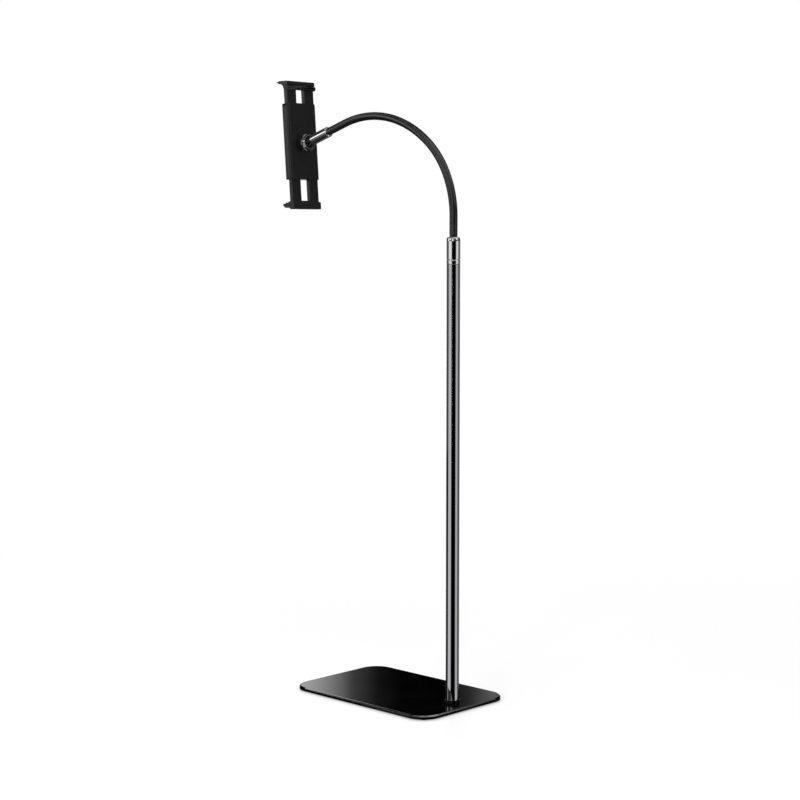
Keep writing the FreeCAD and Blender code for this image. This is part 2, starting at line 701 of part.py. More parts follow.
def arc(a, middle, b):
    return Part.Arc(
        Vector(a[0], 0, a[1]), Vector(middle[0], 0, middle[1]), Vector(b[0], 0, b[1])
    ).toShape()


def upper_claw(thick):
    """The under side of the upper claw as three places, thick further up from the pad's face."""
    root = (RAIL_FRONT, UPPER_WINDOW_TOP + UPPER_CLAW_RISE + thick)
    middle = (RAIL_FRONT - UPPER_CLAW_BEND_REACH, UPPER_BAR_TOP - UPPER_CLAW_BEND_DROP + thick)
    tip = (-HOOK_DEPTH, UPPER_BAR_TOP - UPPER_CLAW_TIP_DROP + thick / 2)
    return root, middle, tip


def upper_jaw():
    """Upper jaw: two rails, a bar with a finger rib behind and a claw in front."""
    root, middle, tip = upper_claw(HOOK_PAD_THICKNESS)
    nose = (-HOOK_DEPTH, tip[1] + UPPER_CLAW_BLUNT)
    brow = (RAIL_FRONT - UPPER_BROW_REACH, UPPER_BAR_TOP + UPPER_BROW_RISE)
    shoulder = (BAR_BACK - BAR_EDGE, UPPER_BAR_TOP)
    cheek = (BAR_BACK, UPPER_BAR_TOP - BAR_EDGE)
    groove_top = (BAR_BACK, UPPER_BAR_TOP - CHEEK_HEIGHT)
    rib_middle = (RIB_REACH, UPPER_BAR_TOP - RIB_DROP)
    groove = (BAR_BACK - BAR_EDGE, rib_middle[1] + RIB_HALF_HEIGHT)
    rib_low = (RAIL_BACK, rib_middle[1] - RIB_HALF_HEIGHT)
    bottom_back = (RAIL_BACK, UPPER_WINDOW_TOP)
    bottom_front = (RAIL_FRONT, UPPER_WINDOW_TOP)
    profile = [
        arc(root, middle, tip),
        line(tip, nose),
        line(nose, brow),
        line(brow, shoulder),
        line(shoulder, cheek),
        line(cheek, groove_top),
        line(groove_top, groove),
        arc(groove, rib_middle, rib_low),
        line(rib_low, bottom_back),
        line(bottom_back, bottom_front),
        line(bottom_front, root),
    ]
    bar = extruded_across(profile, BAR_HALF_WIDTH)
    for rail in rails(UPPER_RAIL_END, UPPER_WINDOW_TOP + RAIL_INTO_BAR):
        bar = bar.fuse(rail)
    return bar.removeSplitter()


def upper_hook_pad():
    """Rubber lining of the upper claw, with a small bead at its tip."""
    root, middle, tip = upper_claw(HOOK_PAD_THICKNESS)
    face_root, face_middle, _ = upper_claw(0)
    bead = (-HOOK_DEPTH, tip[1] - HOOK_LIP)
    bead_back = (-HOOK_DEPTH + HOOK_LIP, bead[1])
    profile = [
        arc(root, middle, tip),
        line(tip, bead),
        line(bead, bead_back),
        arc(bead_back, face_middle, face_root),
        line(face_root, root),
    ]
    return extruded_across(profile, HOOK_PAD_HALF_WIDTH)


def lower_claw(thick):
    """The upper side of the lower claw as three places, thick further down from the pad's face."""
    root = (RAIL_FRONT, LOWER_WINDOW_BOTTOM + LOWER_CLAW_RISE - thick)
    middle = (RAIL_FRONT - LOWER_CLAW_BEND_REACH, LOWER_WINDOW_BOTTOM - LOWER_CLAW_BEND_DROP - thick)
    tip = (LOWER_CLAW_TIP_BACK - HOOK_DEPTH, LOWER_WINDOW_BOTTOM - LOWER_CLAW_TIP_DROP - thick / 2)
    return root, middle, tip


def lower_jaw():
    """Lower jaw: two rails, a plain bar and a blunt claw."""
    root, middle, tip = lower_claw(HOOK_PAD_THICKNESS)
    nose_top = (-HOOK_DEPTH, tip[1] - LOWER_CLAW_BLUNT)
    nose_low = (-HOOK_DEPTH + LOWER_CLAW_BLUNT / 2, nose_top[1] - LOWER_CLAW_BLUNT)
    chin = (RAIL_FRONT - LOWER_CHIN_REACH, LOWER_BAR_BOTTOM + LOWER_CHIN_HEIGHT)
    heel_top = (RAIL_FRONT, LOWER_BAR_BOTTOM + LOWER_HEEL_HEIGHT)
    heel = (RAIL_FRONT, LOWER_BAR_BOTTOM + BAR_EDGE)
    heel_low = (RAIL_FRONT + BAR_EDGE, LOWER_BAR_BOTTOM)
    back_low = (BAR_BACK - BAR_EDGE, LOWER_BAR_BOTTOM)
    back = (BAR_BACK, LOWER_BAR_BOTTOM + BAR_EDGE)
    step = (RAIL_BACK, LOWER_WINDOW_BOTTOM - LOWER_BAR_STEP)
    back_top = (BAR_BACK - BAR_EDGE, step[1])
    back_high = (BAR_BACK, step[1] - BAR_EDGE)
    top_back = (RAIL_BACK, LOWER_WINDOW_BOTTOM)
    top_front = (RAIL_FRONT, LOWER_WINDOW_BOTTOM)
    profile = [
        line(top_front, root),
        arc(root, middle, tip),
        line(tip, nose_top),
        line(nose_top, nose_low),
        line(nose_low, chin),
        line(chin, heel_top),
        line(heel_top, heel),
        line(heel, heel_low),
        line(heel_low, back_low),
        line(back_low, back),
        line(back, back_high),
        line(back_high, back_top),
        line(back_top, step),
        line(step, top_back),
        line(top_back, top_front),
    ]
    bar = extruded_across(profile, BAR_HALF_WIDTH)
    for rail in rails(LOWER_RAIL_END, LOWER_WINDOW_BOTTOM - RAIL_INTO_BAR):
        bar = bar.fuse(rail)
    return bar.removeSplitter()


def lower_hook_pad():
    """Rubber lining of the lower claw."""
    root, middle, tip = lower_claw(HOOK_PAD_THICKNESS)
    face_root, face_middle, face_tip = lower_claw(0)
    bead = (tip[0], face_tip[1] + HOOK_LIP)
    bead_back = (tip[0] + HOOK_LIP, bead[1])
    profile = [
        arc(root, middle, tip),
        line(tip, bead),
        line(bead, bead_back),
        arc(bead_back, face_middle, face_root),
        line(face_root, root),
    ]
    return extruded_across(profile, HOOK_PAD_HALF_WIDTH)


def all_parts():
    parts = {
        "base_plate": base_plate(),
        "base_feet": base_feet(),
        "base_screw": base_screw(),
        "post_foot_ring": post_foot_ring(),
        "post_foot_plug": post_foot_plug(),
        "post_tube": post_tube(),
        "post_top_plug": post_top_plug(),
        "neck_stud": neck_stud(),
        "neck_ferrule": neck_ferrule(),
        "end_ferrule": end_ferrule(),
        "ball_stud": ball_stud(),
    }
    for k, link in enumerate(neck_links()):
        parts[f"neck_link_{k + 1:02d}"] = link
    held = {
        "ball_liner": ball_liner(),
        "lock_nut": lock_nut(),
        "holder_back": holder_back(),
        "holder_front": holder_front(),
        "holder_screws": holder_screws(),
        "front_pads": front_pads(),
        "rail_brakes": rail_brakes(),
        "upper_jaw": upper_jaw(),
        "upper_hook_pad": upper_hook_pad(),
        "lower_jaw": lower_jaw(),
        "lower_hook_pad": lower_hook_pad(),
    }
    for name, shape in held.items():
        parts[name] = in_holder(shape)
    return parts


def middle_x(shapes):
    """Halfway between the nearest and furthest points along X of some shapes."""
    boxes = [shape.BoundBox for shape in shapes]
    return (min(box.XMin for box in boxes) + max(box.XMax for box in boxes)) / 2


os.makedirs("parts", exist_ok=True)
PARTS = all_parts()
TO_MIDDLE = Vector(-middle_x(PARTS.values()), 0, 0)
for name, shape in PARTS.items():
    shape.translate(TO_MIDDLE)
    shape.exportStep(f"parts/{name}.step")
    print(name, len(shape.Solids), round(shape.Volume), shape.isValid())
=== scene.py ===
import json
import math

import bmesh
import bpy
from mathutils import Matrix, Vector


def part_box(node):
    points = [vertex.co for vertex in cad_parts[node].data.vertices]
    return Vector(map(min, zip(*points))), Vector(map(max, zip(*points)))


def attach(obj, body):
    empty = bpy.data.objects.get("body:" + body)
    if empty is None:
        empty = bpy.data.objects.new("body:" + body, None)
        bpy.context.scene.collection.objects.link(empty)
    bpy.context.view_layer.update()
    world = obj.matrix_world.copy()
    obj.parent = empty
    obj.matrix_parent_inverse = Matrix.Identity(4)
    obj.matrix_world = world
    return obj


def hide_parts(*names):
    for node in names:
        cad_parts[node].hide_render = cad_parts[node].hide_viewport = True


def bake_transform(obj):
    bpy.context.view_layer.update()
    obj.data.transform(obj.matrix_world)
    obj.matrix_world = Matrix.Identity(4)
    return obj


# Tablet floor stand: the looks of each piece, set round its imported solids.
# Metres, Z up, floor at Z = 0. The gooseneck bends towards -X from the top of an upright post.
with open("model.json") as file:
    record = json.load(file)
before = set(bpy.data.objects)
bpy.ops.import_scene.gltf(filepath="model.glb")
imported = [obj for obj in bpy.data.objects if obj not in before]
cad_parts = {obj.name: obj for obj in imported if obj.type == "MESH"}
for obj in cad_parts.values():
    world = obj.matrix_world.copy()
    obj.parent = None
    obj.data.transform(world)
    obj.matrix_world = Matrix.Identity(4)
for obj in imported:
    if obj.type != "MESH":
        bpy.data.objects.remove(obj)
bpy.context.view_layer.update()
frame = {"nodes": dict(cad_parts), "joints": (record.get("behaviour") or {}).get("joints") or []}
nodes = frame["nodes"]
joints = {joint["name"]: joint for joint in frame["joints"]}
POST_FOOT = Vector((joints["neck_sway_1"]["pos_m"][0], 0, 0))
MM = 0.001

# The room: a pale floor in a pale room. A large lamp hangs over the stand, strips stand before and beside
# it, one lamp is behind it and two faint ones are at its sides. Round it all is a tent of studio cloth with
# soft boxes, which only polished surfaces mirror: it casts no shadow and lights nothing.
scene = bpy.context.scene
scene.view_settings.view_transform = "Standard"


def linear(hex_code):
    """An sRGB hex colour as the linear RGBA that Blender's sockets take."""
    channels = []
    for start in (0, 2, 4):
        level = int(hex_code[start : start + 2], 16) / 255
        channels.append(level / 12.92 if level <= 0.04045 else ((level + 0.055) / 1.055) ** 2.4)
    return (*channels, 1.0)


def add(tree, kind, inputs=None, **settings):
    """A new node with its settings; an input takes a value or another node's output."""
    node = tree.nodes.new(kind)
    for name, value in settings.items():
        setattr(node, name, value)
    for name, value in (inputs or {}).items():
        if isinstance(value, bpy.types.NodeSocket):
            tree.links.new(value, node.inputs[name])
        else:
            node.inputs[name].default_value = value
    return node


def seen_directly_or_mirrored(tree):
    """1 for what the camera sees, also by way of metal or glass, and 0 for light on the object."""
    rays = add(tree, "ShaderNodeLightPath").outputs
    seen = rays["Is Camera Ray"]
    for way in ("Is Glossy Ray", "Is Transmission Ray"):
        seen = add(tree, "ShaderNodeMath", {0: seen, 1: rays[way]}, operation="MAXIMUM").outputs[0]
    return seen


def empty_material(name):
    """A new material with no nodes, and its tree."""
    material = bpy.data.materials.new(name)
    material.use_nodes = True
    material.node_tree.nodes.clear()
    return material, material.node_tree


def mesh_from(shape, name):
    """A mesh from a shape that is drawn to the end, which is let go."""
    mesh = bpy.data.meshes.new(name)
    shape.to_mesh(mesh)
    shape.free()
    return mesh


def in_scene(name, mesh, *materials):
    """A mesh as a new piece, with its materials."""
    for material in materials:
        mesh.materials.append(material)
    piece = bpy.data.objects.new(name, mesh)
    scene.collection.objects.link(piece)
    return piece


ROOM_LIGHT = 0.55
room = bpy.data.worlds.new("pale_room")
room.use_nodes = True
room.node_tree.nodes.clear()
lit = add(room.node_tree, "ShaderNodeBackground", {"Color": linear("FFFFFF"), "Strength": ROOM_LIGHT})
seen = add(room.node_tree, "ShaderNodeBackground", {"Color": linear("FFFFFF"), "Strength": 1.0})
room_mix = add(room.node_tree, "ShaderNodeMixShader",
               {0: seen_directly_or_mirrored(room.node_tree), 1: lit.outputs[0], 2: seen.outputs[0]})
add(room.node_tree, "ShaderNodeOutputWorld", {"Surface": room_mix.outputs[0]})
scene.world = room

FLOOR_RADIUS = 9.0
FLOOR_LIFT = 0.45
FADE_START, FADE_END = 0.45, 1.5    # metres from the middle
# White paint that keeps the stand's shadow near it and fades into the white backdrop further out.
floor_paint, tree = empty_material("matt_white_floor")
paint = add(tree, "ShaderNodeBsdfDiffuse", {"Color": linear("F4F4F4")})
glow = add(tree, "ShaderNodeEmission", {"Color": linear("FFFFFF"), "Strength": 1.0})
from_middle = add(tree, "ShaderNodeVectorMath", {0: add(tree, "ShaderNodeTexCoord").outputs["Object"]},
                  operation="LENGTH")
fade = add(tree, "ShaderNodeMapRange",
           {"Value": from_middle.outputs["Value"], 1: FADE_START, 2: FADE_END, 3: FLOOR_LIFT, 4: 1.0},
           interpolation_type="SMOOTHSTEP")
lift = add(tree, "ShaderNodeMath", {0: seen_directly_or_mirrored(tree), 1: fade.outputs[0]},
           operation="MULTIPLY")
floor_mix = add(tree, "ShaderNodeMixShader", {0: lift.outputs[0], 1: paint.outputs[0], 2: glow.outputs[0]})
add(tree, "ShaderNodeOutputMaterial", {"Surface": floor_mix.outputs[0]})
shape = bmesh.new()
bmesh.ops.create_circle(shape, cap_ends=True, segments=96, radius=FLOOR_RADIUS)
floor = in_scene("floor", mesh_from(shape, "floor"), floor_paint)

VIEW_TARGET = POST_FOOT + Vector((-0.1130, 0.0, 0.4728))
VIEW_AZIMUTH = math.radians(44.1)
VIEW_ELEVATION = math.radians(5.26)
VIEW_DISTANCE = 2.833
camera_data = bpy.data.cameras.new("camera")
camera_data.lens = 81.0
camera_data.sensor_width = 36.0
camera = bpy.data.objects.new("camera", camera_data)
scene.collection.objects.link(camera)
towards_camera = Vector((
    math.sin(VIEW_AZIMUTH) * math.cos(VIEW_ELEVATION),
    -math.cos(VIEW_AZIMUTH) * math.cos(VIEW_ELEVATION),
    math.sin(VIEW_ELEVATION),
))
camera.location = VIEW_TARGET + towards_camera * VIEW_DISTANCE
camera.rotation_euler = (-towards_camera).to_track_quat("-Z", "Y").to_euler()
scene.camera = camera

# The cloth's tones by bearing, in degrees from the front of the room, positive to the right.
# It closes over the top and lies on the floor round the base. Low down it has two tall soft boxes for the
# post, higher up one at the left and one in front for the holder, and in its roof two for the base's bevel.
BEHIND_LEFT = (
    (-180, 0.0), (-178.1, 0.0), (-177.3, 0.015), (-176.4, 0.055), (-176, 0.10), (-175.6, 0.17),
    (-175.2, 0.27), (-174.75, 0.44), (-174.3, 0.76), (-173.9, 1.3), (-171.5, 1.3),
)
BEHIND_RIGHT = (
    (176, 0.4), (176.5, 0.32), (177.1, 0.085), (177.5, 0.05), (177.9, 0.03), (178.3, 0.0), (180, 0.0),
)
LOW_BOXES = ((-80, 0.88), (-38, 0.88), (-27, 0.0), (40, 0.0), (48, 0.74), (83, 0.74), (91, 0.14))
FLOOR_TONES = ((-180, 0.12), (-160, 0.1), (-150, 0.02), (-98, 0.03), (-90, 0.1), *LOW_BOXES, (180, 0.14))
LOW_TONES = (
    *BEHIND_LEFT, (-169.5, 0.62), (-166, 0.62), (-158, 0.11), (-90, 0.1), *LOW_BOXES, (168, 0.14),
    *BEHIND_RIGHT,
)
HIGH_TONES = (
    *BEHIND_LEFT, (-169, 0.0), (-101, 0.0), (-98, 1.5), (-84, 1.5), (-78, 0.06), (-32, 0.06), (-26, 0.9),
    (-6, 0.9), (0, 0.06), (80, 0.06), (90, 0.14), (112, 0.14), (125, 0.0), (173, 0.0), *BEHIND_RIGHT,
)
ROOF_TONES = (
    (-180, 0.02), (-125, 0.02), (-118, 1.8), (-115, 1.7), (-114.2, 0.8), (-113.6, 0.2), (-113.1, 0.0),
    (-100, 0.0), (-85, 0.2), (-40, 0.35), (40, 0.5), (70, 0.9), (113.5, 0.9), (114.7, 0.2), (115.2, 0.0),
    (116.4, 0.0), (117.2, 0.5), (120, 0.5), (125, 0.02), (180, 0.02),
)
CLOTH_GAIN = 2.0
CLOTH_SIDES = 128
# The tent's side view, as (radius, height) points, and which of its four cloths each part between two is.
CLOTH_WALL = ((0.0, 0.0005), (3.3, 0.0005), (3.3, 0.78), (3.3, 2.6), (2.2, 4.0), (0.0, 4.4))
CLOTH_PARTS = (0, 1, 2, 3, 3)


def cloth_finish(name, bearing_tones):
    """A glowing material whose tone follows the bearing from the post."""
    material, tree = empty_material(name)
    place = add(tree, "ShaderNodeTexCoord").outputs["Object"]
    turned_room = add(tree, "ShaderNodeMapping",
                      {"Vector": place, "Rotation": (0, 0, math.pi / 2 - VIEW_AZIMUTH)})
    axes = add(tree, "ShaderNodeSeparateXYZ", {0: turned_room.outputs[0]})
    bearing = add(tree, "ShaderNodeMath", {0: axes.outputs["Y"], 1: axes.outputs["X"]}, operation="ARCTAN2")
    share = add(tree, "ShaderNodeMapRange",
                {"Value": bearing.outputs[0], 1: -math.pi, 2: math.pi, 3: 0.0, 4: 1.0})
    tones = add(tree, "ShaderNodeValToRGB", {0: share.outputs[0]})
    stops = tones.color_ramp.elements
    for degrees, _ in bearing_tones[1:-1]:
        stops.new((degrees + 180) / 360)
    for stop, (_, tone) in zip(stops, bearing_tones):
        stop.color = (*[tone / CLOTH_GAIN] * 3, 1)
    shine = add(tree, "ShaderNodeEmission", {"Color": tones.outputs[0], "Strength": CLOTH_GAIN})
    add(tree, "ShaderNodeOutputMaterial", {"Surface": shine.outputs[0]})
    return material


def ring_of_points(shape, radius, height, count):
    """Points round the Z axis, as vertices of a shape."""
    angles = [math.tau * k / count for k in range(count)]
    return [shape.verts.new((radius * math.cos(a), radius * math.sin(a), height)) for a in angles]


shape = bmesh.new()
rows = [ring_of_points(shape, radius, height, CLOTH_SIDES) for radius, height in CLOTH_WALL]
for low, high, part in zip(rows, rows[1:], CLOTH_PARTS):
    for k in range(CLOTH_SIDES):
        shape.faces.new((low[k - 1], low[k], high[k], high[k - 1])).material_index = part
bmesh.ops.remove_doubles(shape, verts=shape.verts, dist=0.1 * MM)
cloths = [
    cloth_finish("floor_cloth", FLOOR_TONES),
    cloth_finish("low_cloth_and_soft_boxes", LOW_TONES),
    cloth_finish("high_cloth_and_soft_box", HIGH_TONES),
    cloth_finish("roof_cloth", ROOF_TONES),
]
cloth = in_scene("studio_cloth", mesh_from(shape, "studio_cloth"), *cloths)
cloth.location = POST_FOOT
cloth.visible_camera = False
cloth.visible_diffuse = False
cloth.visible_transmission = False
cloth.visible_shadow = False


LAMP_AIM = POST_FOOT + Vector((-0.15, 0, 0.75))


def lamp(name, watts, bearing_deg, distance, height, width, tall):
    """A soft lamp of some width and height, set round the post and aimed at the middle of the stand."""
    light = bpy.data.lights.new(name, "AREA")
    light.energy = watts
    light.shape = "RECTANGLE"
    light.size = width
    light.size_y = tall
    light_object = bpy.data.objects.new(name, light)
    turn = VIEW_AZIMUTH + math.radians(bearing_deg)
    place = POST_FOOT + Vector((math.sin(turn) * distance, -math.cos(turn) * distance, height))
    light_object.location = place
    light_object.rotation_euler = (LAMP_AIM - place).to_track_quat("-Z", "Y").to_euler()
    scene.collection.objects.link(light_object)


# Watts, bearing from the front, distance and height, then the lamp's own width and height.
lamp("overhead_lamp", 110, -20, 1.6, 4.9, 1.8, 1.8)
lamp("front_strip", 22, -20, 3.6, 1.0, 0.5, 1.6)
lamp("side_strip", 15, -92, 3.6, 1.0, 0.8, 1.8)
lamp("left_lamp", 2, -58, 2.2, 1.55, 0.5, 0.5)
lamp("right_lamp", 2, 62, 2.2, 1.55, 0.5, 0.5)
lamp("back_lamp", 40, 180, 3.7, 2.6, 1.2, 1.2)


# Base: a flat steel plate, cut to shape and baked in gloss black enamel over its whole surface.
# The top edge is milled to a narrow bevel after painting and polished, so a bright line runs round it.
BASE_BEVEL = 2.0 * MM
NOISE_LOW, NOISE_HIGH = 0.3, 0.7    # where nearly all of a noise's values lie
SAME_POINT = 0.004 * MM             # triangles' corners this close are one
SAME_PLANE = math.radians(0.5)
SIDE_SLOPE, TOP_SLOPE = 0.3, 0.95   # how far up a face looks: under the first a side, over the second flat


def glossy_material(name, colour, roughness, metallic=0.0, **inputs):
    """A material with one reflecting shader; returns it, its tree and the shader."""
    material, tree = empty_material(name)
    shader = add(tree, "ShaderNodeBsdfPrincipled", {"Roughness": roughness, "Metallic": metallic, **inputs})
    shader.inputs["Base Color"].default_value = linear(colour)
    add(tree, "ShaderNodeOutputMaterial", {"Surface": shader.outputs[0]})
    return material, tree, shader


def noise(tree, size, detail=2.0, stretch=(1, 1, 1)):
    """Even noise with lumps of a real size in metres, drawn out along the axes by stretch."""
    place = add(tree, "ShaderNodeTexCoord").outputs["Object"]
    scaled = add(tree, "ShaderNodeMapping", {"Vector": place, "Scale": [1 / part for part in stretch]})
    return add(tree, "ShaderNodeTexNoise",
               {"Vector": scaled.outputs[0], "Scale": 1 / size, "Detail": detail}).outputs[0]


def vary(tree, source, low, high, socket):
    """Drives one of a shader's sockets between two values with a noise."""
    span = add(tree, "ShaderNodeMapRange", {"Value": source, 1: NOISE_LOW, 2: NOISE_HIGH, 3: low, 4: high})
    tree.links.new(span.outputs[0], socket)


def vary_colour(tree, source, low, high, shader):
    """Drives a shader's colour between two hex colours with a noise."""
    span = add(tree, "ShaderNodeMapRange", {"Value": source, 1: NOISE_LOW, 2: NOISE_HIGH})
    mix = add(tree, "ShaderNodeMix", {0: span.outputs[0], 6: linear(low), 7: linear(high)},
              data_type="RGBA")
    tree.links.new(mix.outputs[2], shader.inputs["Base Color"])


def roughen(tree, source, depth, shader):
    """Bumps a surface by a real depth in metres with a noise."""
    bump = add(tree, "ShaderNodeBump", {"Strength": 1.0, "Distance": depth, "Height": source})
    tree.links.new(bump.outputs[0], shader.inputs["Normal"])


def joined_copy(node_name, name, *materials):
    """A copy of a CAD node's solids with their loose triangles joined up into whole faces."""
    shape = bmesh.new()
    shape.from_mesh(nodes[node_name].data)
    bmesh.ops.remove_doubles(shape, verts=shape.verts, dist=SAME_POINT)
    bmesh.ops.dissolve_limit(shape, angle_limit=SAME_PLANE, verts=shape.verts, edges=shape.edges)
    mesh = mesh_from(shape, name)
    for attribute in ("custom_normal", "sharp_face", "sharp_edge"):
        if attribute in mesh.attributes:
            mesh.attributes.remove(mesh.attributes[attribute])
    for face in mesh.polygons:
        face.material_index = 0
    return in_scene(name, mesh, *materials)


def plain_shading(piece):
    """Weighs the shading by area, so that flats and straights stay plain beside small rounds."""
    weighing = piece.modifiers.new("plain_shading", "WEIGHTED_NORMAL")
    weighing.keep_sharp = True


def ease_edges(piece, radius, angle=35, segments=2):
    """Rounds a piece's long sharp edges to a small radius, as moulding or tumbling does."""
    mesh = piece.data
    shape = bmesh.new()
    shape.from_mesh(mesh)
    weight = shape.edges.layers.float.new("bevel_weight_edge")
    for edge in shape.edges:
        turned = len(edge.link_faces) == 2 and edge.calc_face_angle() > math.radians(angle)
        edge[weight] = float(turned and edge.calc_length() > 2 * radius)
    shape.to_mesh(mesh)
    shape.free()
    mesh.shade_smooth()
    bevel = piece.modifiers.new("eased_edges", "BEVEL")
    bevel.width = radius
    bevel.segments = segments
    bevel.limit_method = "WEIGHT"
    bevel.use_clamp_overlap = False
    plain_shading(piece)


def seat(piece, body, slot, *node_names):
    """Sets a finished piece on its body, in place of the CAD nodes that it stands for."""
    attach(piece, body)
    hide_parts(*node_names)


base_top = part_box("base_plate")[1].z
# Baked enamel: deep black, mirror gloss with the faint orange peel of sprayed paint and slight smudges.
enamel, tree, shader = glossy_material("gloss_black_enamel", "020202", 0.07, IOR=1.5)
vary(tree, noise(tree, 60 * MM), 0.05, 0.09, shader.inputs["Roughness"])
roughen(tree, noise(tree, 5 * MM), 0.003 * MM, shader)
# Polished steel: a bright line with the fine scratches of the buffing wheel.
polished_bevel, tree, shader = glossy_material("polished_steel_bevel", "8E8E90", 0.07, 1.0)
vary(tree, noise(tree, 20 * MM), 0.05, 0.09, shader.inputs["Roughness"])
roughen(tree, noise(tree, 0.6 * MM), 0.001 * MM, shader)
# Enamel on the sawn edge: thinner and duller than on the rolled faces, so the edge stays black.
edge_enamel, tree, shader = glossy_material("thin_black_enamel_on_edge", "020202", 0.4, IOR=1.5)
shader.inputs["Specular IOR Level"].default_value = 0.1
vary(tree, noise(tree, 4 * MM), 0.35, 0.45, shader.inputs["Roughness"])
plate = joined_copy("base_plate", "enamelled_base_plate", enamel, polished_bevel, edge_enamel)
for face in plate.data.polygons:
    if base_top - BASE_BEVEL < face.center.z < base_top and SIDE_SLOPE < face.normal.z < TOP_SLOPE:
        face.material_index = 1
    elif abs(face.normal.z) < SIDE_SLOPE:
        face.material_index = 2
ease_edges(plate, 0.2 * MM)
seat(plate, "stand", "gloss_black_steel", "base_plate")


# Four feet: moulded rubber discs glued in under the corners of the plate, where they lift it off the floor.
# Their lower edge is chamfered so that it doesn't fold under when the stand is dragged.
FOOT_RADIUS = 8.5 * MM
FOOT_CHAMFER = 0.5 * MM
LONGEST_CUT = 0.45                  # the share of a side that a round at its end may take


def turned_mesh(name, outline, foot=(0, 0, 0), along=(0, 0, 1), steps=96, closed=False):
    """A lathe-turned mesh from (radius, height) points, set on a foot with its axis along a direction."""
    shape = bmesh.new()
    rings = []
    for radius, height in outline:
        if radius == 0:
            rings.append([shape.verts.new((0, 0, height))] * steps)
        else:
            rings.append(ring_of_points(shape, radius, height, steps))
    pairs = list(zip(rings, rings[1:] + rings[:1]))
    if not closed:
        pairs = pairs[:-1]
    for low, high in pairs:
        for k in range(steps):
            corners = [low[k - 1], low[k], high[k], high[k - 1]]
            shape.faces.new(list(dict.fromkeys(corners)))
    bmesh.ops.recalc_face_normals(shape, faces=shape.faces)
    turn = Vector(along).to_track_quat("Z", "Y").to_matrix().to_4x4()
    bmesh.ops.transform(shape, matrix=Matrix.Translation(foot) @ turn, verts=shape.verts)
    return mesh_from(shape, name)


def rounded(outline, radius, steps=3):
    """The same (radius, height) points with each corner off the axis turned to a small round."""
    points = []
    for k, (r, h) in enumerate(outline):
        here = Vector((r, h))
        before, after = Vector(outline[k - 1]), Vector(outline[(k + 1) % len(outline)])
        if r == 0:
            points.append((r, h))
            continue
        back, ahead = (before - here), (after - here)
        cut = min(radius, LONGEST_CUT * back.length, LONGEST_CUT * ahead.length)
        start, end = here + back.normalized() * cut, here + ahead.normalized() * cut
        for step in range(steps + 1):
            t = step / steps
            place = start * (1 - t) ** 2 + here * (2 * t * (1 - t)) + end * t**2
            points.append((place.x, place.y))
    return points


def smooth(piece, angle=30, plain=True):
    """Smooth shading, with edges kept sharp where the surface turns by more than an angle."""
    piece.data.shade_smooth()
    piece.data.set_sharp_from_angle(angle=math.radians(angle))
    if plain:
        plain_shading(piece)


def geometry_tree(name, result, **inputs):
    """A new geometry tree with named inputs and a named result; returns it and its input node's outputs."""
    tree = bpy.data.node_groups.new(name, "GeometryNodeTree")
    for label, kind in inputs.items():
        tree.interface.new_socket(label, in_out="INPUT", socket_type=f"NodeSocket{kind}")
    tree.interface.new_socket(result, in_out="OUTPUT", socket_type="NodeSocketGeometry")
    return tree, add(tree, "NodeGroupInput").outputs


def end_tree(tree, result, shape, finish):
    """Ends a geometry tree: its shape is made real and gets its material."""
    real = add(tree, "GeometryNodeRealizeInstances", {"Geometry": shape})
    painted = add(tree, "GeometryNodeSetMaterial", {"Geometry": real.outputs[0], "Material": finish})
    add(tree, "NodeGroupOutput", {result: painted.outputs[0]})


def result_of(changed):
    """An object's mesh with its modifiers' work done."""
    bpy.context.view_layer.update()
    ready = changed.evaluated_get(bpy.context.evaluated_depsgraph_get())
    return bpy.data.meshes.new_from_object(ready)


def built(start_mesh, tree, name, values):
    """Runs a geometry tree on a mesh, with its named inputs set, and returns the plain result."""
    start = in_scene(name, start_mesh)
    modifier = start.modifiers.new("build", "NODES")
    modifier.node_group = tree
    for item in tree.interface.items_tree:
        if item.in_out == "INPUT" and item.name in values:
            modifier[item.identifier] = values[item.name]
    mesh = result_of(start)
    start.modifiers.remove(modifier)
    bpy.data.objects.remove(start)
    return in_scene(name, mesh)


feet_low, feet_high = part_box("base_feet")
# Foot rubber: matt black, a little dusty, with the fine grain that the mould leaves.
foot_rubber, tree, shader = glossy_material("matt_black_foot_rubber", "141414", 0.75)
vary_colour(tree, noise(tree, 3 * MM), "111111", "1B1B1A", shader)
roughen(tree, noise(tree, 0.5 * MM), 0.03 * MM, shader)
# The geometry tree sets one shape on each point of a mesh: the feet here, the holder's screws further on.
set_on_places, given = geometry_tree("set_on_places", "Result",
                                     Places="Geometry", Shape="Object", Finish="Material")
one_shape = add(set_on_places, "GeometryNodeObjectInfo", {"Object": given["Shape"]})
copies = add(set_on_places, "GeometryNodeInstanceOnPoints",
             {"Points": given["Places"], "Instance": one_shape.outputs["Geometry"]})
end_tree(set_on_places, "Result", copies.outputs[0], given["Finish"])


def copies_on(name, places, shape_mesh, finish):
    """One piece made of a shape's mesh set on each of some places."""
    shape_object = in_scene(name + "_shape", shape_mesh)
    place_mesh = bpy.data.meshes.new(name + "_places")
    place_mesh.from_pydata([tuple(place) for place in places], [], [])
    piece = built(place_mesh, set_on_places, name, {"Shape": shape_object, "Finish": finish})
    bpy.data.objects.remove(shape_object)
    return piece


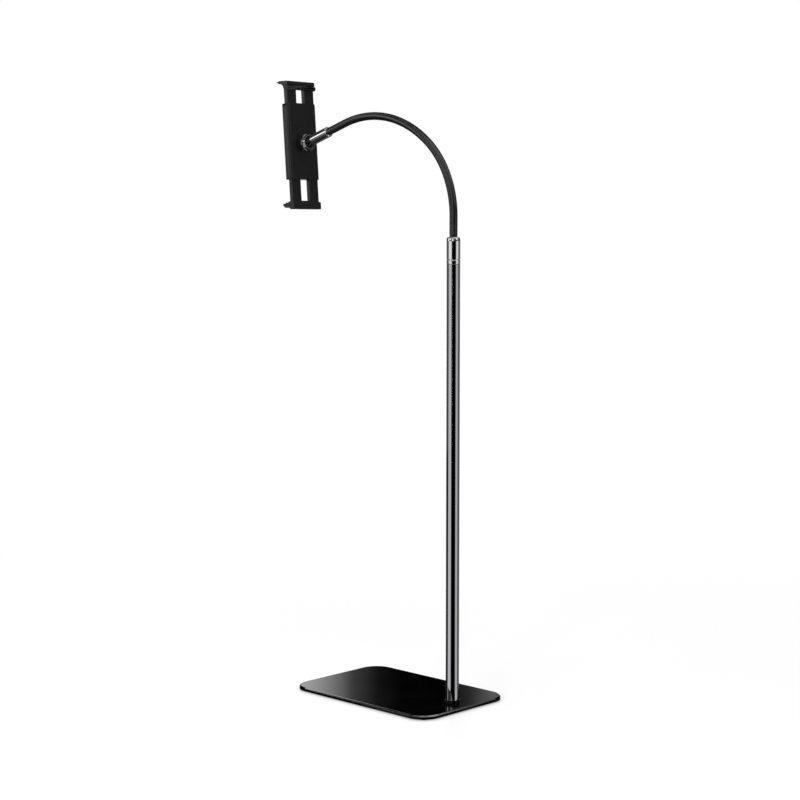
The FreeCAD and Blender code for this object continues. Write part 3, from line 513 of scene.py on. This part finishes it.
foot_height = feet_high.z - feet_low.z
foot_outline = [(0, 0), (FOOT_RADIUS - FOOT_CHAMFER, 0), (FOOT_RADIUS, FOOT_CHAMFER),
                (FOOT_RADIUS, foot_height), (0, foot_height)]
foot_mesh = turned_mesh("foot", rounded(foot_outline, 0.15 * MM), steps=64)
foot_places = [(x, y, feet_low.z) for x in (feet_low.x + FOOT_RADIUS, feet_high.x - FOOT_RADIUS)
               for y in (feet_low.y + FOOT_RADIUS, feet_high.y - FOOT_RADIUS)]
feet = copies_on("rubber_feet", foot_places, foot_mesh, foot_rubber)
smooth(feet)
seat(feet, "stand", "black_rubber", "base_feet")


# Hidden fixings: a countersunk socket screw up through the plate, two tapped plugs in the tube and a stud.
# All are turned from steel and zinc plated, and only the screw's head shows, under the plate.
def finish_node(node_name, material):
    """Gives a CAD node that stays in view its material."""
    for slot in nodes[node_name].material_slots:
        slot.material = material


# Zinc plate: pale grey and softly shiny, with cloudy patches from the barrel it is plated in.
zinc_plate, tree, shader = glossy_material("zinc_plated_steel", "B4B7BA", 0.32, 1.0)
vary_colour(tree, noise(tree, 3 * MM), "A9ADB1", "BFC1C4", shader)
vary(tree, noise(tree, 1.2 * MM), 0.26, 0.4, shader.inputs["Roughness"])
roughen(tree, noise(tree, 0.4 * MM), 0.01 * MM, shader)
for fixing in ("base_screw", "post_foot_plug", "post_top_plug", "neck_stud"):
    finish_node(fixing, zinc_plate)


# Foot ring: a short turned steel collar round the foot of the post, black like the plate it stands on.
# It hides the sawn end of the tube and the gap round it.
ring_low, ring_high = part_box("post_foot_ring")
RING_OUTER = (ring_high.x - ring_low.x) / 2
RING_WALL = 1.1 * MM
RING_INNER = RING_OUTER - RING_WALL
RING_HOLE = 9.07 * MM
RING_LEDGE = 1.2 * MM
ring_top = ring_high.z - ring_low.z
collar_outline = [(RING_HOLE, 0), (RING_OUTER, 0), (RING_OUTER, ring_top), (RING_INNER, ring_top),
                  (RING_INNER, RING_LEDGE), (RING_HOLE, RING_LEDGE)]
# Black oxide on turned steel: dark, half gloss, with fine rings from the tool.
black_oxide, tree, shader = glossy_material("black_oxide_steel", "2A2A2B", 0.3, 1.0)
roughen(tree, noise(tree, 0.3 * MM, stretch=(20, 20, 1)), 0.006 * MM, shader)
vary(tree, noise(tree, 2 * MM), 0.25, 0.36, shader.inputs["Roughness"])
collar_mesh = turned_mesh("collar", rounded(collar_outline, 0.5 * MM),
                          POST_FOOT + Vector((0, 0, ring_low.z)), closed=True)
foot_ring = in_scene("post_foot_collar", collar_mesh, black_oxide)
smooth(foot_ring)
seat(foot_ring, "stand", "gloss_black_steel", "post_foot_ring")


# Post: one length of drawn steel tube, polished along its length and plated in black chrome.
# It mirrors the whole room in a few upright bands, and has no seam, slot or lever anywhere.
POST_WALL = 1.2 * MM
tube_low, tube_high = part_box("post_tube")
tube_radius = (tube_high.x - tube_low.x) / 2
tube_length = tube_high.z - tube_low.z
tube_outline = [(tube_radius - POST_WALL, 0), (tube_radius, 0), (tube_radius, tube_length),
                (tube_radius - POST_WALL, tube_length)]
# Black chrome: a smoky mirror. The draw lines run up the tube and blur it a little sideways.
black_chrome, tree, shader = glossy_material("black_chrome_on_steel", "B9B9BC", 0.07, 1.0)
vary(tree, noise(tree, 40 * MM), 0.05, 0.09, shader.inputs["Roughness"])
roughen(tree, noise(tree, 0.8 * MM, stretch=(1, 1, 60)), 0.0002 * MM, shader)
tube_mesh = turned_mesh("tube", rounded(tube_outline, 0.3 * MM), POST_FOOT + Vector((0, 0, tube_low.z)),
                        steps=160, closed=True)
post = in_scene("black_chrome_post", tube_mesh, black_chrome)
smooth(post)
seat(post, "stand", "black_chrome", "post_tube")


# Lower ferrule: turned brass in bright chrome, screwed on the post's stud, with the gooseneck crimped in.
# A raised ring and a thin groove sit at its foot, and its shoulder is rounded down to the sleeve.
ferrule_low, ferrule_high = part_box("neck_ferrule")
FERRULE_RADIUS = (ferrule_high.x - ferrule_low.x) / 2
FERRULE_RING_HEIGHT = 6.5 * MM
FERRULE_RING_EDGE = 1.3 * MM
FERRULE_GROOVE_WIDTH = 1.0 * MM
FERRULE_GROOVE_DEPTH = 0.55 * MM
FERRULE_MOUTH_RADIUS = 8.3 * MM
FERRULE_SHOULDER = 6.0 * MM
FERRULE_BARREL_ROUND = 0.4 * MM
FERRULE_MOUTH_BEVEL = 0.35 * MM
NECK_RADIUS = 6.2 * MM
NECK_IN_FERRULE = 20 * MM
STUD_RADIUS = 5.02 * MM
ferrule_length = ferrule_high.z - ferrule_low.z


def quarter(centre_radius, centre_height, wide, tall, start_deg, end_deg, steps=8):
    """(radius, height) points round part of an ellipse."""
    points = []
    for k in range(steps + 1):
        angle = math.radians(start_deg + (end_deg - start_deg) * k / steps)
        points.append((centre_radius + wide * math.cos(angle), centre_height + tall * math.sin(angle)))
    return points


mouth = NECK_RADIUS + 0.02 * MM
neck_seat = ferrule_length - NECK_IN_FERRULE
groove_foot = FERRULE_RADIUS - FERRULE_GROOVE_DEPTH
groove_top = FERRULE_RING_HEIGHT + FERRULE_GROOVE_WIDTH
groove_slope = 0.3 * FERRULE_GROOVE_WIDTH
bead = FERRULE_RADIUS - FERRULE_RING_EDGE
ring_edge = (FERRULE_RING_EDGE, FERRULE_RING_EDGE)
barrel = FERRULE_RADIUS - FERRULE_BARREL_ROUND
barrel_round = (FERRULE_BARREL_ROUND, FERRULE_BARREL_ROUND)
shoulder = (FERRULE_RADIUS - FERRULE_MOUTH_RADIUS, FERRULE_SHOULDER)
ferrule_outline = [
    (STUD_RADIUS, 0),
    *quarter(bead, FERRULE_RING_EDGE, *ring_edge, -90, 0, 6),
    *quarter(bead, FERRULE_RING_HEIGHT - FERRULE_RING_EDGE, *ring_edge, 0, 65, 6),
    (groove_foot, FERRULE_RING_HEIGHT + groove_slope),
    (groove_foot, groove_top - groove_slope),
    *quarter(barrel, groove_top + FERRULE_BARREL_ROUND, *barrel_round, -60, 0, 4),
    *quarter(FERRULE_MOUTH_RADIUS, ferrule_length - FERRULE_SHOULDER, *shoulder, 0, 86, 12),
    (mouth + FERRULE_MOUTH_BEVEL, ferrule_length),
    (mouth, ferrule_length - FERRULE_MOUTH_BEVEL),
    (mouth, neck_seat),
    (STUD_RADIUS, neck_seat),
]
# Bright chrome: a hard, nearly white mirror, polished smooth with hardly a mark.
bright_chrome, tree, shader = glossy_material("bright_chrome_on_brass", "E8E8EA", 0.04, 1.0)
vary(tree, noise(tree, 15 * MM), 0.025, 0.06, shader.inputs["Roughness"])
ferrule_mesh = turned_mesh("ferrule", ferrule_outline, POST_FOOT + Vector((0, 0, ferrule_low.z)), steps=128,
                           closed=True)
lower_ferrule = in_scene("lower_chrome_ferrule", ferrule_mesh, bright_chrome)
smooth(lower_ferrule)
seat(lower_ferrule, "stand", "chrome", "neck_ferrule")


# Gooseneck: a wound steel core that keeps any bend it is given, in a smooth extruded sleeve of black vinyl.
# It leaves the ferrule straight, curls over in two arcs and ends in a short straight in the upper ferrule.
NECK_FIRST_STRAIGHT = 31 * MM
NECK_ARCS = ((148 * MM, math.radians(50)), (194 * MM, math.radians(57.5)))
NECK_LAST_STRAIGHT = 38 * MM
BEND_JOINTS = 10
SECOND_SWAY_AFTER = 7
SECOND_SWAY_HALF = 9 * MM
FLIPPED_STRETCH = 5
RISE_STEPS = 12
SLEEVE_SIDES = 48
NECK_TURN = sum(sweep for _, sweep in NECK_ARCS)
ARC_STEP = math.radians(1.2)


def heading(turn):
    """The gooseneck's direction once it has turned through an angle from upright."""
    return Vector((-math.sin(turn), 0, math.cos(turn)))


def neck_point(turn):
    """Where the curved part of the gooseneck's centreline has turned through an angle."""
    place = POST_FOOT + Vector((0, 0, ferrule_high.z + NECK_FIRST_STRAIGHT))
    done = 0.0
    for radius, sweep in NECK_ARCS:
        here = min(max(turn - done, 0.0), sweep)
        place = place + heading(done + here / 2) * (2 * radius * math.sin(here / 2))
        done += sweep
    return place


def neck_span(low, high):
    """Centreline points between two turns."""
    count = max(2, round((high - low) / ARC_STEP))
    return [neck_point(low + (high - low) * k / count) for k in range(count + 1)]


# The geometry tree draws a round sleeve along a line of points, each with its share of the full radius.
sleeve_along, given = geometry_tree("sleeve_along_line", "Sleeve",
                                    Line="Geometry", Radius="Float", Sides="Int", Finish="Material")
centreline = add(sleeve_along, "GeometryNodeMeshToCurve", {"Mesh": given["Line"]})
upright = add(sleeve_along, "GeometryNodeSetCurveNormal", {"Curve": centreline.outputs[0]})
round_wall = add(sleeve_along, "GeometryNodeCurvePrimitiveCircle",
                 {"Radius": given["Radius"], "Resolution": given["Sides"]})
share = add(sleeve_along, "GeometryNodeInputNamedAttribute", {"Name": "share"}, data_type="FLOAT")
swept = add(sleeve_along, "GeometryNodeCurveToMesh",
            {"Curve": upright.outputs[0], "Profile Curve": round_wall.outputs["Curve"],
             "Scale": share.outputs["Attribute"], "Fill Caps": True})
end_tree(sleeve_along, "Sleeve", swept.outputs[0], given["Finish"])
# Extruded vinyl: satin black with a soft broad shine, and a grain that only shows close to.
vinyl, tree, shader = glossy_material("satin_black_vinyl_sleeve", "0A0A0B", 0.3, IOR=1.5)
shader.inputs["Specular IOR Level"].default_value = 0.8
vary(tree, noise(tree, 12 * MM), 0.22, 0.28, shader.inputs["Roughness"])
vary_colour(tree, noise(tree, 4 * MM), "09090A", "0D0D0E", shader)
roughen(tree, noise(tree, 0.5 * MM), 0.012 * MM, shader)


def sleeve_piece(number, line, before, after=None, shares=None):
    """One stretch of the sleeve: it rides one body, or, where it spans a joint, stays where it is drawn."""
    name = f"neck_sleeve_{number:02d}"
    line_mesh = bpy.data.meshes.new(name + "_line")
    line_mesh.from_pydata([tuple(point) for point in line], [(k, k + 1) for k in range(len(line) - 1)], [])
    share_of_radius = line_mesh.attributes.new("share", "FLOAT", "POINT")
    share_of_radius.data.foreach_set("value", shares or [1.0] * len(line))
    piece = built(line_mesh, sleeve_along, name,
                  {"Radius": NECK_RADIUS, "Sides": SLEEVE_SIDES, "Finish": vinyl})
    smooth(piece, 40, plain=False)
    if after is None:
        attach(piece, before)
    else:
        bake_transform(piece)
    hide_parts(f"neck_link_{number:02d}")


def half_ball(place, direction):
    """Points past an end of the sleeve, and the shares of its radius that close it in a half ball."""
    angles = [math.radians(degrees) for degrees in (3, 20, 40, 60, 75, 88)]
    return [(place + direction * (NECK_RADIUS * math.sin(a)), math.cos(a)) for a in angles]


def stiff_piece(number, line, start_turn=None, end_turn=None):
    """A stretch that rides one link, with a half ball where it meets its neighbour at a joint."""
    points = [(place, 1.0) for place in line]
    if start_turn is not None:
        points = half_ball(line[0], -heading(start_turn))[::-1] + points
    if end_turn is not None:
        points += half_ball(line[-1], heading(end_turn))
    places, shares = zip(*points)
    sleeve_piece(number, places, f"neck_{number:02d}", shares=shares)


bend_step = NECK_TURN / BEND_JOINTS
sway_place = SECOND_SWAY_AFTER * bend_step
sway_half = SECOND_SWAY_HALF / NECK_ARCS[1][0]
neck_mouth = POST_FOOT + Vector((0, 0, ferrule_high.z))
curve_start = neck_point(0)
rise = [neck_mouth - Vector((0, 0, NECK_IN_FERRULE))]
rise += [neck_mouth.lerp(curve_start, k / RISE_STEPS) for k in range(RISE_STEPS + 1)]
sleeve_piece(1, rise, "stand", "neck_02")
# Up to the second sway each stretch spans the joint in its middle and stays where it is drawn.
# For the sixth one, the two bodies at its ends are given the other way round.
turns = [k * bend_step for k in range(SECOND_SWAY_AFTER)] + [sway_place - sway_half, sway_place + sway_half]
for k, (low, high) in enumerate(zip(turns, turns[1:])):
    ends = [(f"neck_{k + 2:02d}", neck_point(low)), (f"neck_{k + 3:02d}", neck_point(high))]
    if k == FLIPPED_STRETCH:
        ends.reverse()
    (before, start), (after, end) = ends
    sleeve_piece(k + 2, neck_span(low, high), before, after)
# Past it each stretch rides its own link, and neighbours meet in half balls, which turn inside each other.
joint_turns = [(k + 0.5) * bend_step for k in range(SECOND_SWAY_AFTER, BEND_JOINTS)]
stiff_piece(10, neck_span(turns[-1], joint_turns[0]), end_turn=joint_turns[0])
stiff_piece(11, neck_span(joint_turns[0], joint_turns[1]), joint_turns[0], joint_turns[1])
stiff_piece(12, neck_span(joint_turns[1], joint_turns[2]), joint_turns[1], joint_turns[2])
last_heading = heading(NECK_TURN)
neck_end = neck_point(NECK_TURN) + last_heading * NECK_LAST_STRAIGHT
last_line = [*neck_span(joint_turns[2], NECK_TURN), neck_end, neck_end + last_heading * NECK_IN_FERRULE]
stiff_piece(13, last_line, start_turn=joint_turns[2])


# Upper ferrule: turned brass in the same bright chrome, crimped on the end of the gooseneck.
# Both its edges are bevelled, the one towards the neck wider than the one towards the ball.
END_FERRULE_RADIUS = 8.5 * MM
END_FERRULE_LENGTH = 40 * MM
END_FERRULE_BEVEL = 1.4 * MM
END_MOUTH_BEVEL = 0.3 * MM
BALL_THREAD = 4.02 * MM
end_outline = [
    (mouth, END_MOUTH_BEVEL),
    (mouth + END_MOUTH_BEVEL, 0),
    (END_FERRULE_RADIUS - END_FERRULE_BEVEL, 0),
    (END_FERRULE_RADIUS, END_FERRULE_BEVEL),
    (END_FERRULE_RADIUS, END_FERRULE_LENGTH - END_FERRULE_BEVEL / 2),
    (END_FERRULE_RADIUS - END_FERRULE_BEVEL / 2, END_FERRULE_LENGTH),
    (BALL_THREAD, END_FERRULE_LENGTH),
    (BALL_THREAD, NECK_IN_FERRULE),
    (mouth, NECK_IN_FERRULE),
]
end_mesh = turned_mesh("end_ferrule", rounded(end_outline, 0.3 * MM), neck_end, last_heading, steps=128,
                       closed=True)
upper_ferrule = in_scene("upper_chrome_ferrule", end_mesh, bright_chrome)
smooth(upper_ferrule)
seat(upper_ferrule, "neck_13", "chrome", "end_ferrule")


# Ball stud: a turned steel ball on a waisted stem with a small flange, screwed into the upper ferrule.
# It is polished and blackened, so that it slides in its nylon cup without squeaking.
BALL_RADIUS = 8.5 * MM
BALL_TO_FERRULE = 12.3 * MM
STEM_RADIUS = 3.2 * MM
STEM_FLANGE_RADIUS = 5.4 * MM
STEM_FLANGE_HEIGHT = 1.0 * MM
BALL_THREAD_LENGTH = 13 * MM
ball_centre = Vector(joints["holder_pan"]["pos_m"])
neck_angle = math.degrees(math.asin(STEM_RADIUS / BALL_RADIUS))
flange_foot = BALL_TO_FERRULE - STEM_FLANGE_HEIGHT
stem_flare = STEM_FLANGE_RADIUS - STEM_RADIUS
thread = BALL_THREAD - 0.02 * MM
ball_outline = [
    (0, -BALL_RADIUS),
    *quarter(0, 0, BALL_RADIUS, BALL_RADIUS, -86, 90 - neck_angle, 40),
    *quarter(STEM_FLANGE_RADIUS, flange_foot - stem_flare, -stem_flare, stem_flare, 0, 90, 8),
    (STEM_FLANGE_RADIUS, BALL_TO_FERRULE - 0.1 * MM),
    (thread, BALL_TO_FERRULE),
    (thread, BALL_TO_FERRULE + BALL_THREAD_LENGTH),
    (0, BALL_TO_FERRULE + BALL_THREAD_LENGTH),
]
# Black nickel: a dark smoky mirror, softer than the chrome beside it.
black_nickel, tree, shader = glossy_material("black_nickel_on_steel", "3C3C3F", 0.16, 1.0)
vary(tree, noise(tree, 4 * MM), 0.12, 0.22, shader.inputs["Roughness"])
ball_mesh = turned_mesh("ball_stud", ball_outline, ball_centre, -last_heading)
ball = in_scene("blackened_ball_stud", ball_mesh, black_nickel)
smooth(ball)
seat(ball, "neck_13", "black_chrome", "ball_stud")


# Liner: a thin cup of black nylon between the ball and its socket, which takes the wear of the joint.
# It is hidden but for its rim, inside the nut.
# Unpolished nylon: dull black and waxy.
nylon_cup, tree, shader = glossy_material("waxy_black_nylon", "0D0D0E", 0.45, IOR=1.53)
vary_colour(tree, noise(tree, 5 * MM), "0B0B0C", "111112", shader)
roughen(tree, noise(tree, 0.5 * MM), 0.01 * MM, shader)
finish_node("ball_liner", nylon_cup)


# Holder back: a moulded tray of black ABS with the slotted socket for the ball in the middle of its back.
# Its mould is finely spark-eroded, which gives the flat faces their satin look.
BALL_HEIGHT = 10 * MM
outward = Vector(joints["holder_spin"]["axis"])
along_holder = Vector(joints["holder_pan"]["axis"])
across_holder = along_holder.cross(outward)
HOLDER = Matrix.Translation(ball_centre - outward * BALL_HEIGHT) @ Matrix(
    (outward, across_holder, along_holder)).transposed().to_4x4()
# Satin ABS: charcoal black with a dull even sheen and a grain just too fine to count.
satin_abs, tree, shader = glossy_material("satin_black_abs", "0E0E0F", 0.36, IOR=1.5)
vary(tree, noise(tree, 25 * MM), 0.27, 0.33, shader.inputs["Roughness"])
vary_colour(tree, noise(tree, 8 * MM), "0C0C0D", "111112", shader)
roughen(tree, noise(tree, 0.35 * MM), 0.012 * MM, shader)
back_half = joined_copy("holder_back", "holder_back_half", satin_abs)
ease_edges(back_half, 0.35 * MM)
seat(back_half, "holder", "holder_black", "holder_back")


# Lock nut: die-cast in zinc and plated in black chrome, with six rounded lobes for the fingers and a nose.
# Screwed down, it closes the slotted socket on the ball.
NUT_RADIUS = 15 * MM
NUT_LOBES = 6
NUT_NOTCH_RADIUS = 4.4 * MM
NUT_NOTCH_DEPTH = 2.1 * MM
NUT_LOBE_ROUND = 1.6 * MM
NUT_EDGE = 2.4 * MM
NUT_BORE = 12.05 * MM
NUT_FLANGE = (4.5 * MM, 11.1 * MM)
NUT_NOSE_FOOT = 13.25 * MM
NUT_NOSE_RADIUS = 11.8 * MM
NUT_TOP = 15 * MM
NUT_LIP_RADIUS = 9.6 * MM
NUT_LIP_HEIGHT = 1.4 * MM
NUT_STEPS = NUT_LOBES * 28


def lobed(angle, radius):
    """How far out the nut's flange is at an angle: round, with a soft-edged notch between two lobes."""
    pitch = math.tau / NUT_LOBES
    off = (angle + pitch / 2) % pitch - pitch / 2
    centre = NUT_RADIUS + NUT_NOTCH_RADIUS - NUT_NOTCH_DEPTH
    inside = NUT_NOTCH_RADIUS**2 - (centre * math.sin(off)) ** 2
    if inside <= 0:
        return radius
    notch = centre * math.cos(off) - math.sqrt(inside)
    near = max(NUT_LOBE_ROUND - abs(radius - notch), 0) / NUT_LOBE_ROUND
    return min(radius, notch) - near**2 * NUT_LOBE_ROUND / 4


foot, top = NUT_FLANGE
edge_foot = quarter(NUT_RADIUS - NUT_EDGE, foot + NUT_EDGE, NUT_EDGE, NUT_EDGE, -90, 0, 4)
edge_top = quarter(NUT_RADIUS - NUT_EDGE, top - NUT_EDGE, NUT_EDGE, NUT_EDGE, 0, 90, 4)
nut_rings = [(NUT_BORE, foot, False)]
nut_rings += [(radius, height, True) for radius, height in edge_foot + edge_top]
nose = [(NUT_NOSE_FOOT, top), (NUT_NOSE_RADIUS, NUT_TOP), (NUT_LIP_RADIUS + NUT_LIP_HEIGHT / 3, NUT_TOP),
        (NUT_LIP_RADIUS, NUT_TOP - NUT_LIP_HEIGHT), (NUT_BORE, NUT_TOP - NUT_LIP_HEIGHT)]
nose_rounded = [nose[0], *rounded(nose, 0.35 * MM)[4:]]
nut_rings += [(radius, height, False) for radius, height in nose_rounded]
shape = bmesh.new()
loops = []
for radius, height, has_lobes in nut_rings:
    loop = []
    for k in range(NUT_STEPS):
        angle = math.tau * k / NUT_STEPS
        reach = lobed(angle, NUT_RADIUS) - (NUT_RADIUS - radius) if has_lobes else radius
        loop.append(shape.verts.new((height, reach * math.sin(angle), reach * math.cos(angle))))
    loops.append(loop)
for low, high in zip(loops, loops[1:] + loops[:1]):
    for k in range(NUT_STEPS):
        shape.faces.new((low[k - 1], low[k], high[k], high[k - 1]))
bmesh.ops.recalc_face_normals(shape, faces=shape.faces)
bmesh.ops.transform(shape, matrix=HOLDER, verts=shape.verts)
nut_mesh = mesh_from(shape, "lock_nut")
# Black chrome on a casting: a darker mirror than the post, a little wavy where the casting was tumbled.
dark_chrome, tree, shader = glossy_material("black_chrome_on_cast_zinc", "8A8A8D", 0.1, 1.0)
vary(tree, noise(tree, 6 * MM), 0.07, 0.14, shader.inputs["Roughness"])
roughen(tree, noise(tree, 3 * MM), 0.006 * MM, shader)
nut = in_scene("scalloped_lock_nut", nut_mesh, dark_chrome)
smooth(nut, 40)
seat(nut, "lock_nut", "black_chrome", "lock_nut")


# Holder front: the matching cover in the same black ABS, closed over the rails and held by four screws.
# Its parting line with the back half runs round the sides as a thin dark line.
front_half = joined_copy("holder_front", "holder_front_half", satin_abs)
ease_edges(front_half, 0.3 * MM)
seat(front_half, "holder", "holder_black", "holder_front")


# Four holder screws: zinc-plated steel with low domed heads and a cross recess, sunk in the front half.
SCREW_HEAD_RADIUS = 2.8 * MM
SCREW_HEAD_HEIGHT = 1.8 * MM
SCREW_RADIUS = 1.5 * MM
SCREW_LENGTH = 7 * MM
SCREW_DOME = 0.75 * MM
SCREW_PLACES = (46 * MM, 20 * MM, -20 * MM, -46 * MM)
SCREW_FRONT = -15.6 * MM
CROSS_LENGTH = 3.4 * MM
CROSS_WIDTH = 0.7 * MM
CROSS_DEPTH = 0.9 * MM
dome = [(0, 0), *quarter(0, SCREW_DOME, SCREW_HEAD_RADIUS, SCREW_DOME, -84, 0, 10)]
screw_outline = [*dome, (SCREW_HEAD_RADIUS, SCREW_HEAD_HEIGHT), (SCREW_RADIUS, SCREW_HEAD_HEIGHT),
                 (SCREW_RADIUS, SCREW_HEAD_HEIGHT + SCREW_LENGTH), (0, SCREW_HEAD_HEIGHT + SCREW_LENGTH)]
screw = in_scene("screw", turned_mesh("screw", screw_outline, along=outward, steps=48))
shape = bmesh.new()
for wide, tall in ((CROSS_LENGTH, CROSS_WIDTH), (CROSS_WIDTH, CROSS_LENGTH)):
    cutter = bmesh.ops.create_cube(shape, size=1)["verts"]
    bmesh.ops.scale(shape, vec=(2 * CROSS_DEPTH, wide, tall), verts=cutter)
bmesh.ops.transform(shape, matrix=HOLDER.to_3x3().to_4x4(), verts=shape.verts)
cross = in_scene("cross", mesh_from(shape, "cross"))
recess = screw.modifiers.new("recess", "BOOLEAN")
recess.object = cross
recess.solver = "EXACT"
recess.use_self = True
screw_mesh = result_of(screw)
bpy.data.objects.remove(screw)
bpy.data.objects.remove(cross)
screw_places = [HOLDER @ Vector((SCREW_FRONT, 0, z)) for z in SCREW_PLACES]
screws = copies_on("holder_front_screws", screw_places, screw_mesh, zinc_plate)
smooth(screws)
seat(screws, "holder", "zinc_steel", "holder_screws")


# Front pads and rail brakes: two strips of soft silicone on the front that grip the tablet's back,
# and four rubber blocks inside that press on the rails and hold a jaw where it is put.
# Silicone: dead matt black that catches pale dust.
silicone, tree, shader = glossy_material("matt_black_silicone", "1A1A1B", 0.7)
vary_colour(tree, noise(tree, 2.5 * MM), "171718", "201F20", shader)
roughen(tree, noise(tree, 0.4 * MM), 0.02 * MM, shader)
pads = joined_copy("front_pads", "silicone_front_pads", silicone)
ease_edges(pads, 0.35 * MM)
seat(pads, "holder", "silicone", "front_pads")
finish_node("rail_brakes", foot_rubber)


# Upper jaw: one ABS moulding with two flat rails that slide in the holder and a bar across their top.
# The bar has a ribbed finger grip behind and a claw in front, lined with soft rubber.
upper_bar = joined_copy("upper_jaw", "upper_sliding_jaw", satin_abs)
ease_edges(upper_bar, 0.4 * MM)
seat(upper_bar, "upper_jaw", "holder_black", "upper_jaw")
upper_pad = joined_copy("upper_hook_pad", "upper_claw_lining", silicone)
ease_edges(upper_pad, 0.25 * MM, 30)
seat(upper_pad, "upper_jaw", "silicone", "upper_hook_pad")


# Lower jaw: the same kind of moulding upside down, with a plain bar and a blunt claw for the lower edge.
lower_bar = joined_copy("lower_jaw", "lower_sliding_jaw", satin_abs)
ease_edges(lower_bar, 0.4 * MM)
seat(lower_bar, "lower_jaw", "holder_black", "lower_jaw")
lower_pad = joined_copy("lower_hook_pad", "lower_claw_lining", silicone)
ease_edges(lower_pad, 0.25 * MM, 30)
seat(lower_pad, "lower_jaw", "silicone", "lower_hook_pad")
